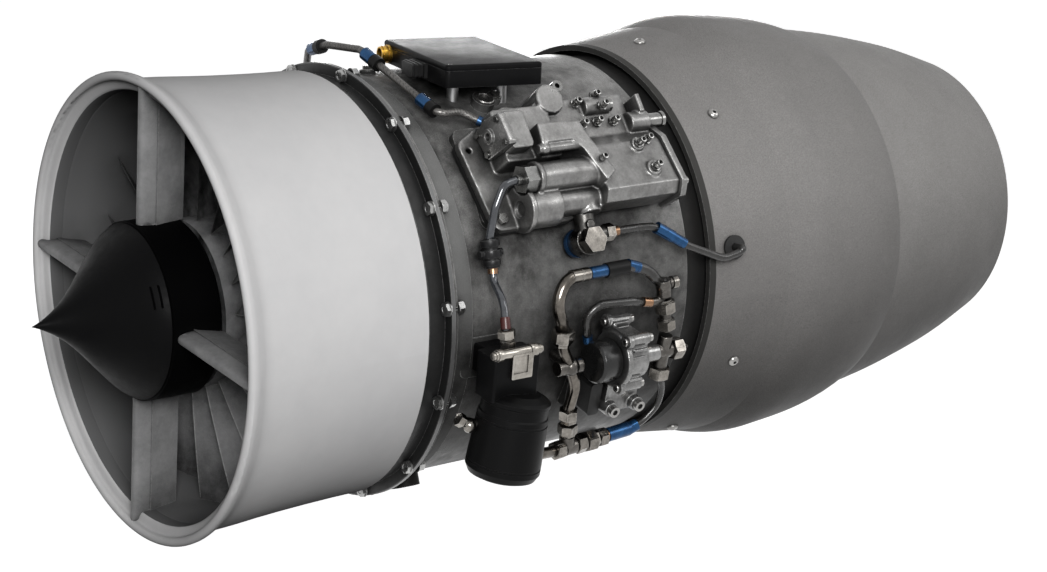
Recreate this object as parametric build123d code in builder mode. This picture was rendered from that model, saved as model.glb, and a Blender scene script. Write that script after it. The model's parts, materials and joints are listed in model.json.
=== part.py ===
from build123d import *
from math import atan, cos, degrees, radians, sin, tan
import os

# A small two-spool turbofan engine on its side: intake at the front, a bare casing
# that carries the fuel control, pump, filter and control box, and a cowl with a nozzle.
# Y runs aft along the engine's axis, Z is up, X points to the engine's left side.
# The origin is the centre of the nozzle exit. Every station is a distance behind the
# foremost point of the intake lip, and y_at turns it into the frame's own Y.

# Lengths along the axis, from the front to the back
INTAKE_LENGTH = 168.0
FAN_CASE_LENGTH = 22.0
CASING_LENGTH = 252.0
COWL_SETBACK = 20.0
COWL_LENGTH = 232.0
CREASE_SETBACK = 85.0
NOZZLE_LENGTH = 199.0

# Radii of the outer skin
LIP_R = 195.0
BARREL_R = 182.5
CASING_R = 175.5
CASING_WALL = 4.5
BAND_R = 178.0
FLANGE_R = 188.0
COWL_LIP_R = 182.5
COWL_LIP_BORE = 177.5
CREASE_R = 193.4
BULGE_R = 201.6
COWL_REAR_R = 184.3
NOZZLE_FRONT_R = 182.6
EXIT_R = 138.5
EXIT_BORE = 135.5
SKIN = 3.0

# Intake and its frame
DUCT_R = 178.0
STATOR_DUCT_R = 173.0
LIP_HALF = 3.8
HUB_R = 74.0
HUB_LENGTH = 44.0
CONE_R = 72.5
CONE_LENGTH = 88.0
STRUT_COUNT = 4
STRUT_CHORD = 41.0
STRUT_THICKNESS = 12.0
STRUT_SETBACK = 2.5

# Fan and outlet guide vanes
FAN_BLADES = 18
FAN_FRONT = 48.0
FAN_HUB_LENGTH = 64.0
FAN_HUB_R = 70.0
FAN_TIP_GAP = 0.6
VANE_COUNT = 24
VANE_FRONT = 128.0
VANE_LENGTH = 32.0

# Core
CORE_R = 122.0
CORE_WALL = 2.5
SPLITTER_R = 96.0
SPLITTER_STATION = 118.0
IMPELLER_FRONT = 200.0
IMPELLER_LENGTH = 52.0
IMPELLER_R = 104.0
IMPELLER_BLADES = 14
BURNER_FRONT = 276.0
BURNER_REAR = 392.0
BURNER_R = 108.0
INJECTOR_COUNT = 12
INJECTOR_RING_R = 83.0
TURBINE_HUB_R = 73.5
TURBINE_TIP_R = 103.4
FAN_SHAFT_R = 12.0
CORE_SHAFT_R = 20.0
CORE_SHAFT_BORE = 15.0
RACE_WALL = 4.5
BALL_R = 3.4
BALL_SPACE = 7.0
BEARING_WIDTH = 12.0
TAIL_CONE_LENGTH = 220.0

# Flange fasteners and threads
FLANGE_BOLTS = 14
FLANGE_PHASE = 10.6
FLANGE_THICKNESS = 3.5
BOLT_CIRCLE_R = 183.0
BOLT_R = 3.0
BOLT_HEAD = 10.0
MOUNT_THREAD_R = 5.0
MOUNT_DEPTH = 14.0
MOUNT_BOSS_R = 13.0
MOUNT_HEIGHT = 12.0

# Clearances
FIT = 0.05
FREE = 0.3

# Stations that follow from the lengths
FLANGE_STATION = INTAKE_LENGTH + FAN_CASE_LENGTH
CASING_REAR = FLANGE_STATION + CASING_LENGTH
COWL_FRONT = CASING_REAR + COWL_SETBACK
CREASE_STATION = COWL_FRONT + CREASE_SETBACK
COWL_REAR = COWL_FRONT + COWL_LENGTH
EXIT_STATION = COWL_REAR + NOZZLE_LENGTH
CASING_BORE = CASING_R - CASING_WALL
COWL_SLOPE = (CREASE_R - COWL_LIP_R) / CREASE_SETBACK

os.makedirs("parts", exist_ok=True)


def y_at(station):
    """The frame's Y of a station behind the intake lip."""
    return station - EXIT_STATION


def rs(radius, station):
    """A point of a turned profile, from its radius and its station."""
    return (radius, y_at(station))


def turned(*points):
    """A turned ring whose section is a polygon of radius and station pairs."""
    with BuildSketch(Plane.XY) as section:
        with BuildLine():
            Polyline(*[rs(radius, station) for radius, station in points], close=True)
        make_face()
    revolve(section.sketch, axis=Axis.Y)


def round_core(radius, front, rear, mode=Mode.SUBTRACT):
    """Cuts away, or keeps, a round core of one radius between two stations."""
    with BuildSketch(Plane.XY) as section:
        with BuildLine():
            Polyline(rs(0, front), rs(radius, front), rs(radius, rear), rs(0, rear), close=True)
        make_face()
    revolve(section.sketch, axis=Axis.Y, mode=mode)


def skin_zone(clock, station, height=0.0):
    """A plane on the casing: x runs aft, y runs up the clock, z points out."""
    angle = radians(clock)
    out = Vector(cos(angle), 0, sin(angle))
    spot = out * (CASING_R + height) + Vector(0, y_at(station), 0)
    return Plane(origin=spot, x_dir=(0, 1, 0), z_dir=out)


def meridian(clock):
    """A plane through the axis: x is the radius, y runs aft."""
    angle = radians(clock)
    return Plane(origin=(0, 0, 0), x_dir=(cos(angle), 0, sin(angle)), z_dir=(-sin(angle), 0, cos(angle)))


def spoke(clock, radius, station, turn=0.0):
    """A plane square to a spoke: x runs aft, y up the clock, both turned about the spoke."""
    angle = radians(clock)
    out = Vector(cos(angle), 0, sin(angle))
    up = Vector(-sin(angle), 0, cos(angle))
    aft = Vector(0, 1, 0) * cos(radians(turn)) + up * sin(radians(turn))
    return Plane(origin=out * radius + Vector(0, y_at(station), 0), x_dir=aft, z_dir=out)


def at(zone, x, y, h):
    """A point given in a zone's own aft, up and out distances."""
    return zone.from_local_coords((x, y, h))


def facing(zone, x, y, h, toward):
    """A plane at a point of a zone that faces along one of the zone's directions."""
    directions = {
        "aft": (zone.x_dir, zone.y_dir),
        "front": (zone.x_dir * -1, zone.y_dir),
        "up": (zone.y_dir, zone.x_dir),
        "down": (zone.y_dir * -1, zone.x_dir),
        "out": (zone.z_dir, zone.x_dir),
        "in": (zone.z_dir * -1, zone.x_dir),
    }
    normal, side = directions[toward]
    return Plane(origin=at(zone, x, y, h), x_dir=side, z_dir=normal)


def disc(plane, radius, length, bore=0.0, mode=Mode.ADD):
    """A round solid or a ring standing on a plane, or the hole it leaves."""
    with BuildSketch(plane) as section:
        Circle(radius)
        if bore:
            Circle(bore, mode=Mode.SUBTRACT)
    extrude(section.sketch, amount=length, mode=mode)


def hexagon(plane, across, length, bore=0.0):
    """A hexagon of a given width across its flats, with an optional bore."""
    with BuildSketch(plane) as section:
        RegularPolygon(radius=across / 2, side_count=6, major_radius=False)
        if bore:
            Circle(bore, mode=Mode.SUBTRACT)
    extrude(section.sketch, amount=length)


def block(plane, width, depth, height, corner=0.0, mode=Mode.ADD):
    """A block standing on a plane, with rounded upright corners if asked."""
    with BuildSketch(plane) as section:
        if corner:
            RectangleRounded(width, depth, corner)
        else:
            Rectangle(width, depth)
    extrude(section.sketch, amount=height, mode=mode)


def prism(plane, points, height, corner=0.0):
    """A prism standing on a plane, from its outline, with rounded upright corners."""
    with BuildSketch(plane) as section:
        with BuildLine():
            Polyline(*points, close=True)
        make_face()
        if corner:
            fillet(section.vertices(), corner)
    extrude(section.sketch, amount=height)


def along(start, end, setback=0.0):
    """A plane on the line from start to end that faces end, a distance along it."""
    way = (end - start).normalized()
    return Plane(origin=start + way * setback, z_dir=way)


def bend_radii(points, largest):
    """The radius at each inner point of a route: as large as its two runs allow."""
    radii = []
    for before, here, after in zip(points, points[1:], points[2:]):
        shorter = min((here - before).length, (after - here).length)
        turn = radians((here - before).get_angle(after - here))
        radii.append(min(largest, 0.45 * shorter / tan(turn / 2)))
    return radii


def pipe(points, radius, largest=60.0):
    """A round pipe or hose along a route of straight runs and tangent bends."""
    with BuildLine() as route:
        FilletPolyline(*points, radius=bend_radii(points, largest))
    with BuildSketch(Plane(origin=points[0], z_dir=points[1] - points[0])) as section:
        Circle(radius)
    sweep(section.sketch, path=route.line)


def intake_inner():
    """The inner line of the intake, from the lip to the fan case."""
    Spline(
        rs(LIP_R - 2 * LIP_HALF, LIP_HALF),
        rs(DUCT_R + 3.0, 9.0),
        rs(DUCT_R + 1.0, 20.0),
        rs(DUCT_R, FAN_FRONT),
        tangents=[(0, 1), (0, 1)],
    )
    Line(rs(DUCT_R, FAN_FRONT), rs(DUCT_R, FAN_FRONT + FAN_HUB_LENGTH + 4))
    Line(rs(DUCT_R, FAN_FRONT + FAN_HUB_LENGTH + 4), rs(STATOR_DUCT_R, VANE_FRONT - 2))
    Line(rs(STATOR_DUCT_R, VANE_FRONT - 2), rs(STATOR_DUCT_R, INTAKE_LENGTH))


# The intake: a spun duct with a rolled lip, tapering back to the fan case
FLARE = [(0.083, 0.66), (0.2, 0.41), (0.39, 0.26), (0.65, 0.09)]
with BuildPart() as intake_duct:
    with BuildSketch(Plane.XY):
        with BuildLine():
            ThreePointArc(
                rs(LIP_R, LIP_HALF), rs(LIP_R - LIP_HALF, 0), rs(LIP_R - 2 * LIP_HALF, LIP_HALF)
            )
            intake_inner()
            Line(rs(STATOR_DUCT_R, INTAKE_LENGTH), rs(BARREL_R, INTAKE_LENGTH))
            Spline(
                rs(BARREL_R, INTAKE_LENGTH),
                *[
                    rs(BARREL_R + (LIP_R - BARREL_R) * rise, INTAKE_LENGTH * share)
                    for share, rise in reversed(FLARE)
                ],
                rs(LIP_R, LIP_HALF),
                tangents=[(0, -1), (0, -1)],
            )
        make_face()
    revolve(axis=Axis.Y)
intake_duct.part.label = "intake_duct"
export_step(intake_duct.part, "parts/intake_duct.step")

# The inlet hub: a turned ring with a web and the seat of the front fan bearing
HUB_WALL = 6.0
SEAT_WALL = 5.0
FAN_RACE_R = FAN_SHAFT_R + 2 * RACE_WALL + BALL_SPACE
FAN_BEARING_FRONT = 24.0
SPIGOT_R = HUB_R - HUB_WALL
SPIGOT_LENGTH = 9.0
with BuildPart() as inlet_hub:
    turned(
        (SPIGOT_R, 0),
        (HUB_R, 0),
        (HUB_R, HUB_LENGTH - 4),
        (HUB_R - 4, HUB_LENGTH),
        (SPIGOT_R, HUB_LENGTH),
    )
    turned(
        (FAN_RACE_R + FIT + SEAT_WALL, 22),
        (SPIGOT_R + 1, 26),
        (SPIGOT_R + 1, 32),
        (FAN_RACE_R + FIT + SEAT_WALL, 30),
    )
    turned(
        (FAN_RACE_R + FIT, FAN_BEARING_FRONT - 3),
        (FAN_RACE_R + FIT + SEAT_WALL + 1, FAN_BEARING_FRONT - 3),
        (FAN_RACE_R + FIT + SEAT_WALL + 1, FAN_BEARING_FRONT + BEARING_WIDTH + 2),
        (FAN_RACE_R + FIT, FAN_BEARING_FRONT + BEARING_WIDTH + 2),
    )
inlet_hub.part.label = "inlet_hub"
export_step(inlet_hub.part, "parts/inlet_hub.step")

# The four inlet struts: rounded in front, thin behind, cut to the hub and the duct
with BuildPart() as inlet_struts:
    for quarter in range(STRUT_COUNT):
        with BuildSketch(spoke(360 / STRUT_COUNT * quarter, HUB_R - 10, STRUT_SETBACK)):
            with BuildLine():
                upper = Spline(
                    (0, 0),
                    (STRUT_CHORD * 0.07, STRUT_THICKNESS * 0.33),
                    (STRUT_CHORD * 0.33, STRUT_THICKNESS * 0.5),
                    (STRUT_CHORD, STRUT_THICKNESS * 0.1),
                    tangents=[(0, 1), (1, -0.2)],
                )
                mirror(upper, about=Plane.XZ)
                Line(upper @ 1, (STRUT_CHORD, -STRUT_THICKNESS * 0.1))
            make_face()
        extrude(amount=DUCT_R - HUB_R + 40)
    with BuildSketch(Plane.XY):
        with BuildLine():
            intake_inner()
            Polyline(
                rs(STATOR_DUCT_R, INTAKE_LENGTH),
                rs(HUB_R + FIT, INTAKE_LENGTH),
                rs(HUB_R + FIT, 0),
                rs(LIP_R - 2 * LIP_HALF, 0),
                rs(LIP_R - 2 * LIP_HALF, LIP_HALF),
            )
        make_face()
    revolve(axis=Axis.Y, mode=Mode.INTERSECT)
inlet_struts.part.label = "inlet_struts"
export_step(inlet_struts.part, "parts/inlet_struts.step")

# The nose cone: a spun shell, hollow, with a spigot in the hub and three cooling slots
CONE_WALL = 3.0
CONE_GAP = 1.5
CONE_LINE = [(0.80, 0.115), (0.60, 0.30), (0.40, 0.55), (0.20, 0.81), (0.06, 0.96)]
SLOT_STATIONS = (-16.5, -11.5, -6.5)
SLOT_CLOCK = 29.0
SLOT_SPAN = 19.0
SLOT_WIDTH = 1.6
with BuildPart() as nose_cone:
    with BuildSketch(Plane.XY):
        with BuildLine():
            Spline(
                rs(0, -CONE_LENGTH),
                *[rs(CONE_R * radius, -CONE_GAP - (CONE_LENGTH - CONE_GAP) * ahead) for ahead, radius in CONE_LINE],
                rs(CONE_R, -CONE_GAP),
            )
            Polyline(
                rs(CONE_R, -CONE_GAP),
                rs(HUB_R - 4, -CONE_GAP),
                rs(HUB_R - 4, 0),
                rs(SPIGOT_R - FIT, 0),
                rs(SPIGOT_R - FIT, SPIGOT_LENGTH),
                rs(SPIGOT_R - CONE_WALL, SPIGOT_LENGTH),
                rs(SPIGOT_R - CONE_WALL, -8),
                rs(12, -62),
                rs(0, -68),
                rs(0, -CONE_LENGTH),
            )
        make_face()
    revolve(axis=Axis.Y)
    for slot_station in SLOT_STATIONS:
        with BuildSketch(spoke(SLOT_CLOCK, CONE_R * 0.86, slot_station)):
            SlotOverall(SLOT_SPAN, SLOT_WIDTH, rotation=90)
        extrude(amount=CONE_R * 0.5, mode=Mode.SUBTRACT)
nose_cone.part.label = "nose_cone"
export_step(nose_cone.part, "parts/nose_cone.step")

# The fan: one forged disc with its blades, each a twisted and cambered plate
BLADE_SECTIONS = [(FAN_HUB_R - 3, 54.0, 28.0, 4.6, 3.6), (122.0, 56.0, 42.0, 3.6, 2.6), (DUCT_R + 2, 58.0, 56.0, 2.6, 1.8)]
with BuildPart() as fan_rotor:
    turned(
        (FAN_SHAFT_R + FIT, FAN_FRONT + 14),
        (FAN_SHAFT_R + 14, FAN_FRONT + 14),
        (FAN_SHAFT_R + 20, FAN_FRONT + 26),
        (FAN_HUB_R - 14, FAN_FRONT + 24),
        (FAN_HUB_R - 7, FAN_FRONT),
        (FAN_HUB_R, FAN_FRONT),
        (FAN_HUB_R + 2, FAN_FRONT + FAN_HUB_LENGTH),
        (FAN_HUB_R - 7, FAN_FRONT + FAN_HUB_LENGTH),
        (FAN_HUB_R - 12, FAN_FRONT + 38),
        (FAN_SHAFT_R + 20, FAN_FRONT + 36),
        (FAN_SHAFT_R + 14, FAN_FRONT + 48),
        (FAN_SHAFT_R + FIT, FAN_FRONT + 48),
    )
    for blade in range(FAN_BLADES):
        for radius, chord, stagger, thickness, camber in BLADE_SECTIONS:
            with BuildSketch(spoke(360 / FAN_BLADES * blade, radius, FAN_FRONT + FAN_HUB_LENGTH / 2, stagger)):
                with BuildLine():
                    ThreePointArc((-chord / 2, 0), (0, camber + thickness / 2), (chord / 2, 0))
                    ThreePointArc((chord / 2, 0), (0, camber - thickness / 2), (-chord / 2, 0))
                make_face()
        loft()
    with BuildSketch(Plane.XY):
        with BuildLine():
            Polyline(
                rs(0, FAN_FRONT),
                rs(DUCT_R - FAN_TIP_GAP, FAN_FRONT),
                rs(DUCT_R - FAN_TIP_GAP, FAN_FRONT + FAN_HUB_LENGTH),
                rs(0, FAN_FRONT + FAN_HUB_LENGTH),
                close=True,
            )
        make_face()
    revolve(axis=Axis.Y, mode=Mode.INTERSECT)
fan_rotor.part.label = "fan_rotor"
export_step(fan_rotor.part, "parts/fan_rotor.step")

# The nut that holds the fan on its shaft
FAN_SHAFT_FRONT = 18.0
with BuildPart() as fan_nut:
    hexagon(Plane(origin=(0, y_at(FAN_FRONT + 2), 0), z_dir=(0, 1, 0)), 32.0, 12.0, FAN_SHAFT_R + FIT)
fan_nut.part.label = "fan_nut"
export_step(fan_nut.part, "parts/fan_nut.step")

# The fan case: the dark band behind the intake, with a groove and the front flange
with BuildPart() as fan_case:
    turned(
        (STATOR_DUCT_R, INTAKE_LENGTH),
        (BAND_R - 2, INTAKE_LENGTH),
        (BAND_R - 2, INTAKE_LENGTH + 3.5),
        (BAND_R, INTAKE_LENGTH + 3.5),
        (BAND_R, FLANGE_STATION - FLANGE_THICKNESS),
        (FLANGE_R, FLANGE_STATION - FLANGE_THICKNESS),
        (FLANGE_R, FLANGE_STATION),
        (CASING_BORE, FLANGE_STATION),
    )
    with Locations(Plane(origin=(0, y_at(FLANGE_STATION), 0), x_dir=(1, 0, 0), z_dir=(0, -1, 0))):
        with PolarLocations(BOLT_CIRCLE_R, FLANGE_BOLTS, start_angle=FLANGE_PHASE):
            Cylinder(BOLT_R + FIT, 3 * FLANGE_THICKNESS, mode=Mode.SUBTRACT)
fan_case.part.label = "fan_case"
export_step(fan_case.part, "parts/fan_case.step")

# The outlet guide vanes: a cast ring of vanes between the core and the duct
VANE_RING = 3.0
with BuildPart() as outlet_guide_vanes:
    turned(
        (SPLITTER_R + FIT, VANE_FRONT),
        (SPLITTER_R + FIT + VANE_RING, VANE_FRONT),
        (SPLITTER_R + FIT + VANE_RING, VANE_FRONT + VANE_LENGTH),
        (SPLITTER_R + FIT, VANE_FRONT + VANE_LENGTH),
    )
    turned(
        (STATOR_DUCT_R - FIT - VANE_RING, VANE_FRONT),
        (STATOR_DUCT_R - FIT, VANE_FRONT),
        (STATOR_DUCT_R - FIT, VANE_FRONT + VANE_LENGTH),
        (STATOR_DUCT_R - FIT - VANE_RING, VANE_FRONT + VANE_LENGTH),
    )
    for vane in range(VANE_COUNT):
        with BuildSketch(spoke(360 / VANE_COUNT * vane + 3, SPLITTER_R + 2, VANE_FRONT + VANE_LENGTH / 2, -14)):
            with BuildLine():
                ThreePointArc((-15, 0), (0, 4.2), (15, 0))
                ThreePointArc((15, 0), (0, 1.8), (-15, 0))
            make_face()
        extrude(amount=STATOR_DUCT_R - SPLITTER_R - 4)
outlet_guide_vanes.part.label = "outlet_guide_vanes"
export_step(outlet_guide_vanes.part, "parts/outlet_guide_vanes.step")

# The core housing: the splitter, the cold shell, the impeller's shroud and the front hub
CORE_REAR = 610.0
CORE_REAR_R = 104.0
EYE_R = 69.0
SHROUD_GAP = 0.7
CORE_RACE_R = CORE_SHAFT_R + 2 * RACE_WALL + BALL_SPACE
CORE_FRONT_BEARING = 177.0
with BuildPart() as core_housing:
    turned(
        (SPLITTER_R - 9, SPLITTER_STATION),
        (SPLITTER_R, VANE_FRONT),
        (SPLITTER_R, VANE_FRONT + VANE_LENGTH + 6),
        (CORE_R - 8, 212),
        (CORE_R, 240),
        (CORE_R, 470),
        (CORE_R - 8, 560),
        (CORE_REAR_R, CORE_REAR),
        (CORE_REAR_R - CORE_WALL, CORE_REAR),
        (CORE_R - 8 - CORE_WALL, 560),
        (CORE_R - CORE_WALL, 470),
        (CORE_R - CORE_WALL, 240),
        (CORE_R - 8 - CORE_WALL, 212),
        (SPLITTER_R - CORE_WALL, VANE_FRONT + VANE_LENGTH + 6),
        (SPLITTER_R - CORE_WALL - 1, VANE_FRONT + 4),
    )
    turned(
        (SPLITTER_R - 9, SPLITTER_STATION),
        (SPLITTER_R - CORE_WALL, VANE_FRONT + 5),
        (SPLITTER_R - 14, 147),
        (EYE_R + 4 + CORE_WALL, 176),
        (EYE_R + CORE_WALL, IMPELLER_FRONT),
        (EYE_R + 5 + CORE_WALL, IMPELLER_FRONT + 15),
        (EYE_R + 18 + CORE_WALL, IMPELLER_FRONT + 31),
        (IMPELLER_R + 2, IMPELLER_FRONT + 38),
        (CORE_R - CORE_WALL + 0.5, IMPELLER_FRONT + 40),
        (CORE_R - CORE_WALL + 0.5, IMPELLER_FRONT + 43),
        (IMPELLER_R + 2, IMPELLER_FRONT + 42),
        (EYE_R + 16, IMPELLER_FRONT + 34),
        (EYE_R + 4, IMPELLER_FRONT + 18),
        (EYE_R, IMPELLER_FRONT),
        (EYE_R + 4, 176),
        (SPLITTER_R - 17, 147),
    )
    turned(
        (FAN_HUB_R - 2, 116),
        (FAN_HUB_R + 1, 116),
        (63, 145),
        (51, 172),
        (46, 189),
        (CORE_RACE_R + FIT, 189),
        (CORE_RACE_R + FIT, CORE_FRONT_BEARING - 2),
        (44, CORE_FRONT_BEARING - 2),
        (48, 168),
        (59, 143),
    )
    for strut in range(8):
        with BuildSketch(meridian(45 * strut + 22.5)):
            with BuildLine():
                Polyline(
                    rs(66, 128), rs(85, 128), rs(83, 146), rs(74, 172), rs(49, 172), rs(60, 147), close=True
                )
            make_face()
        extrude(amount=1.5, both=True)
    for igniter in (70, 250):
        disc(spoke(igniter, BURNER_R, 300), 4.6, 30, mode=Mode.SUBTRACT)
core_housing.part.label = "core_housing"
export_step(core_housing.part, "parts/core_housing.step")

# The compressor impeller: a turned hub with straight backed blades
with BuildPart() as impeller:
    with BuildSketch(Plane.XY):
        with BuildLine():
            Polyline(
                rs(IMPELLER_R, IMPELLER_FRONT + 46),
                rs(IMPELLER_R, IMPELLER_FRONT + IMPELLER_LENGTH - 2),
                rs(CORE_SHAFT_R + FIT, IMPELLER_FRONT + IMPELLER_LENGTH),
                rs(CORE_SHAFT_R + FIT, IMPELLER_FRONT),
                rs(38, IMPELLER_FRONT),
            )
            ThreePointArc(
                rs(38, IMPELLER_FRONT), rs(57, IMPELLER_FRONT + 33), rs(IMPELLER_R, IMPELLER_FRONT + 46)
            )
        make_face()
    revolve(axis=Axis.Y)
    for blade in range(IMPELLER_BLADES):
        with BuildSketch(meridian(360 / IMPELLER_BLADES * blade)):
            with BuildLine():
                Polyline(
                    rs(37, IMPELLER_FRONT + 2),
                    rs(EYE_R - SHROUD_GAP, IMPELLER_FRONT + 2),
                    rs(EYE_R + 3.6 - SHROUD_GAP, IMPELLER_FRONT + 18),
                    rs(EYE_R + 15 - SHROUD_GAP, IMPELLER_FRONT + 34 + SHROUD_GAP),
                    rs(IMPELLER_R, IMPELLER_FRONT + 42),
                    rs(IMPELLER_R, IMPELLER_FRONT + 47),
                    rs(57, IMPELLER_FRONT + 36),
                    close=True,
                )
            make_face()
        extrude(amount=0.9, both=True)
impeller.part.label = "impeller"
export_step(impeller.part, "parts/impeller.step")

# The radial diffuser: vanes round the impeller, a back plate and the burner's inner tube
CORE_REAR_BEARING = 370.0
with BuildPart() as radial_diffuser:
    turned(
        (CORE_RACE_R + FIT, IMPELLER_FRONT + 58),
        (CORE_R - CORE_WALL - FIT, IMPELLER_FRONT + 58),
        (CORE_R - CORE_WALL - FIT, IMPELLER_FRONT + 62),
        (CORE_RACE_R + FIT + 4, IMPELLER_FRONT + 62),
        (CORE_RACE_R + FIT + 4, BURNER_REAR - 1),
        (CORE_RACE_R + FIT, BURNER_REAR - 1),
    )
    for vane in range(20):
        with BuildSketch(Plane(origin=(0, y_at(IMPELLER_FRONT + 44), 0), x_dir=(1, 0, 0), z_dir=(0, 1, 0))):
            with PolarLocations(IMPELLER_R + 8, 1, start_angle=18 * vane):
                Rectangle(13, 1.6, rotation=62)
        extrude(amount=15)
radial_diffuser.part.label = "radial_diffuser"
export_step(radial_diffuser.part, "parts/radial_diffuser.step")

# The burner's liner: two thin walls joined by a dome with a hole for each injector
LINER_WALL = 1.6
LINER_INNER_R = 56.0
with BuildPart() as burner_liner:
    turned(
        (LINER_INNER_R, BURNER_FRONT),
        (BURNER_R, BURNER_FRONT),
        (BURNER_R, BURNER_REAR),
        (BURNER_R - LINER_WALL, BURNER_REAR),
        (BURNER_R - LINER_WALL, BURNER_FRONT + LINER_WALL),
        (LINER_INNER_R + LINER_WALL, BURNER_FRONT + LINER_WALL),
        (LINER_INNER_R + LINER_WALL, BURNER_REAR),
        (LINER_INNER_R, BURNER_REAR),
    )
    for injector in range(INJECTOR_COUNT):
        spot = meridian(360 / INJECTOR_COUNT * injector).from_local_coords(rs(INJECTOR_RING_R, BURNER_FRONT - 2) + (0,))
        disc(Plane(origin=spot, z_dir=(0, 1, 0)), 3.2, 8, mode=Mode.SUBTRACT)
    for igniter in (70, 250):
        disc(spoke(igniter, BURNER_R - 4, 300), 4.6, 10, mode=Mode.SUBTRACT)
    for hole in range(24):
        disc(spoke(15 * hole + 7.5, BURNER_R - 4, 330), 3.5, 10, mode=Mode.SUBTRACT)
burner_liner.part.label = "burner_liner"
export_step(burner_liner.part, "parts/burner_liner.step")

# The fuel injectors: one for each hole of the liner's dome, seated on the back plate
with BuildPart() as fuel_injectors:
    for injector in range(INJECTOR_COUNT):
        spot = meridian(360 / INJECTOR_COUNT * injector).from_local_coords(
            rs(INJECTOR_RING_R, IMPELLER_FRONT + 62) + (0,)
        )
        stem = Plane(origin=spot, z_dir=(0, 1, 0))
        disc(stem, 5.0, 10)
        disc(stem, 3.0, BURNER_FRONT - IMPELLER_FRONT - 62 + 5)
fuel_injectors.part.label = "fuel_injectors"
export_step(fuel_injectors.part, "parts/fuel_injectors.step")

# Two igniter plugs that reach through the shell into the liner
with BuildPart() as igniter_plugs:
    for igniter in (70, 250):
        disc(spoke(igniter, BURNER_R - 6, 300), 4.5, CORE_R + 8 - BURNER_R)
        hexagon(spoke(igniter, CORE_R + 0.1, 300), 12.0, 7.0)
        disc(spoke(igniter, CORE_R + 7, 300), 3.0, 9)
igniter_plugs.part.label = "igniter_plugs"
export_step(igniter_plugs.part, "parts/igniter_plugs.step")


def turbine_blades(count, front, length, root, tip, turn):
    """Cambered blades between two radii, set round a ring."""
    for blade in range(count):
        with BuildSketch(spoke(360 / count * blade, root, front + length / 2, turn)) as section:
            with BuildLine():
                ThreePointArc((-length / 2, 0), (0, 5.0), (length / 2, 0))
                ThreePointArc((length / 2, 0), (0, 2.4), (-length / 2, 0))
            make_face()
        extrude(section.sketch, amount=tip - root)


# The two rings of turbine nozzles
CORE_NOZZLE_FRONT = BURNER_REAR
CORE_TURBINE_FRONT = BURNER_REAR + 23.0
FAN_NOZZLE_FRONT = BURNER_REAR + 46.0
FAN_TURBINE_FRONT = BURNER_REAR + 66.0
with BuildPart() as turbine_stators:
    for front, length in ((CORE_NOZZLE_FRONT, 20.0), (FAN_NOZZLE_FRONT, 16.0)):
        turned(
            (TURBINE_TIP_R + 1, front + 2),
            (TURBINE_TIP_R + 4, front + 2),
            (TURBINE_TIP_R + 4, front),
            (CORE_R - CORE_WALL - FIT, front),
            (CORE_R - CORE_WALL - FIT, front + length),
            (TURBINE_TIP_R + 1, front + length),
        )
        turned(
            (LINER_INNER_R, front),
            (TURBINE_HUB_R, front),
            (TURBINE_HUB_R, front + length),
            (TURBINE_HUB_R - 4, front + length),
            (TURBINE_HUB_R - 4, front + 4),
            (LINER_INNER_R, front + 4),
        )
        turbine_blades(24, front + 1, length - 2, TURBINE_HUB_R - 1, TURBINE_TIP_R + 2, 28)
turbine_stators.part.label = "turbine_stators"
export_step(turbine_stators.part, "parts/turbine_stators.step")


def turbine_disc(front, bore, blades):
    """A bladed turbine disc with a thick bore, a thin web and a rim."""
    turned(
        (bore, front - 2),
        (bore + 12, front - 2),
        (bore + 16, front + 5),
        (TURBINE_HUB_R - 12, front + 6),
        (TURBINE_HUB_R - 8, front + 1),
        (TURBINE_HUB_R, front + 1),
        (TURBINE_HUB_R, front + 17),
        (TURBINE_HUB_R - 8, front + 17),
        (TURBINE_HUB_R - 12, front + 12),
        (bore + 16, front + 13),
        (bore + 12, front + 18),
        (bore, front + 18),
    )
    turbine_blades(blades, front + 2, 14, TURBINE_HUB_R - 1, TURBINE_TIP_R, -34)


with BuildPart() as core_turbine:
    turbine_disc(CORE_TURBINE_FRONT, CORE_SHAFT_R + FIT, 30)
core_turbine.part.label = "core_turbine"
export_step(core_turbine.part, "parts/core_turbine.step")

with BuildPart() as fan_turbine:
    turbine_disc(FAN_TURBINE_FRONT, FAN_SHAFT_R + FIT, 28)
fan_turbine.part.label = "fan_turbine"
export_step(fan_turbine.part, "parts/fan_turbine.step")

# The two shafts: the fan's runs through the hollow one of the compressor
CORE_SHAFT_FRONT = 172.0
FAN_SHAFT_REAR = 512.0
FAN_REAR_BEARING = 492.0
with BuildPart() as core_shaft:
    turned(
        (CORE_SHAFT_BORE, CORE_SHAFT_FRONT),
        (CORE_SHAFT_R, CORE_SHAFT_FRONT),
        (CORE_SHAFT_R, CORE_TURBINE_FRONT + 21),
        (CORE_SHAFT_BORE, CORE_TURBINE_FRONT + 21),
    )
core_shaft.part.label = "core_shaft"
export_step(core_shaft.part, "parts/core_shaft.step")

with BuildPart() as fan_shaft:
    turned((0, FAN_SHAFT_FRONT), (FAN_SHAFT_R, FAN_SHAFT_FRONT), (FAN_SHAFT_R, FAN_SHAFT_REAR), (0, FAN_SHAFT_REAR))
    chamfer(fan_shaft.edges().filter_by(GeomType.CIRCLE).sort_by(Axis.Y)[0], 1.5)
fan_shaft.part.label = "fan_shaft"
export_step(fan_shaft.part, "parts/fan_shaft.step")

# The bearings: inner races turn with their shaft, outer races and balls stay
BEARINGS = [
    (FAN_SHAFT_R, FAN_BEARING_FRONT),
    (FAN_SHAFT_R, FAN_REAR_BEARING),
    (CORE_SHAFT_R, CORE_FRONT_BEARING),
    (CORE_SHAFT_R, CORE_REAR_BEARING),
]


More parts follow.
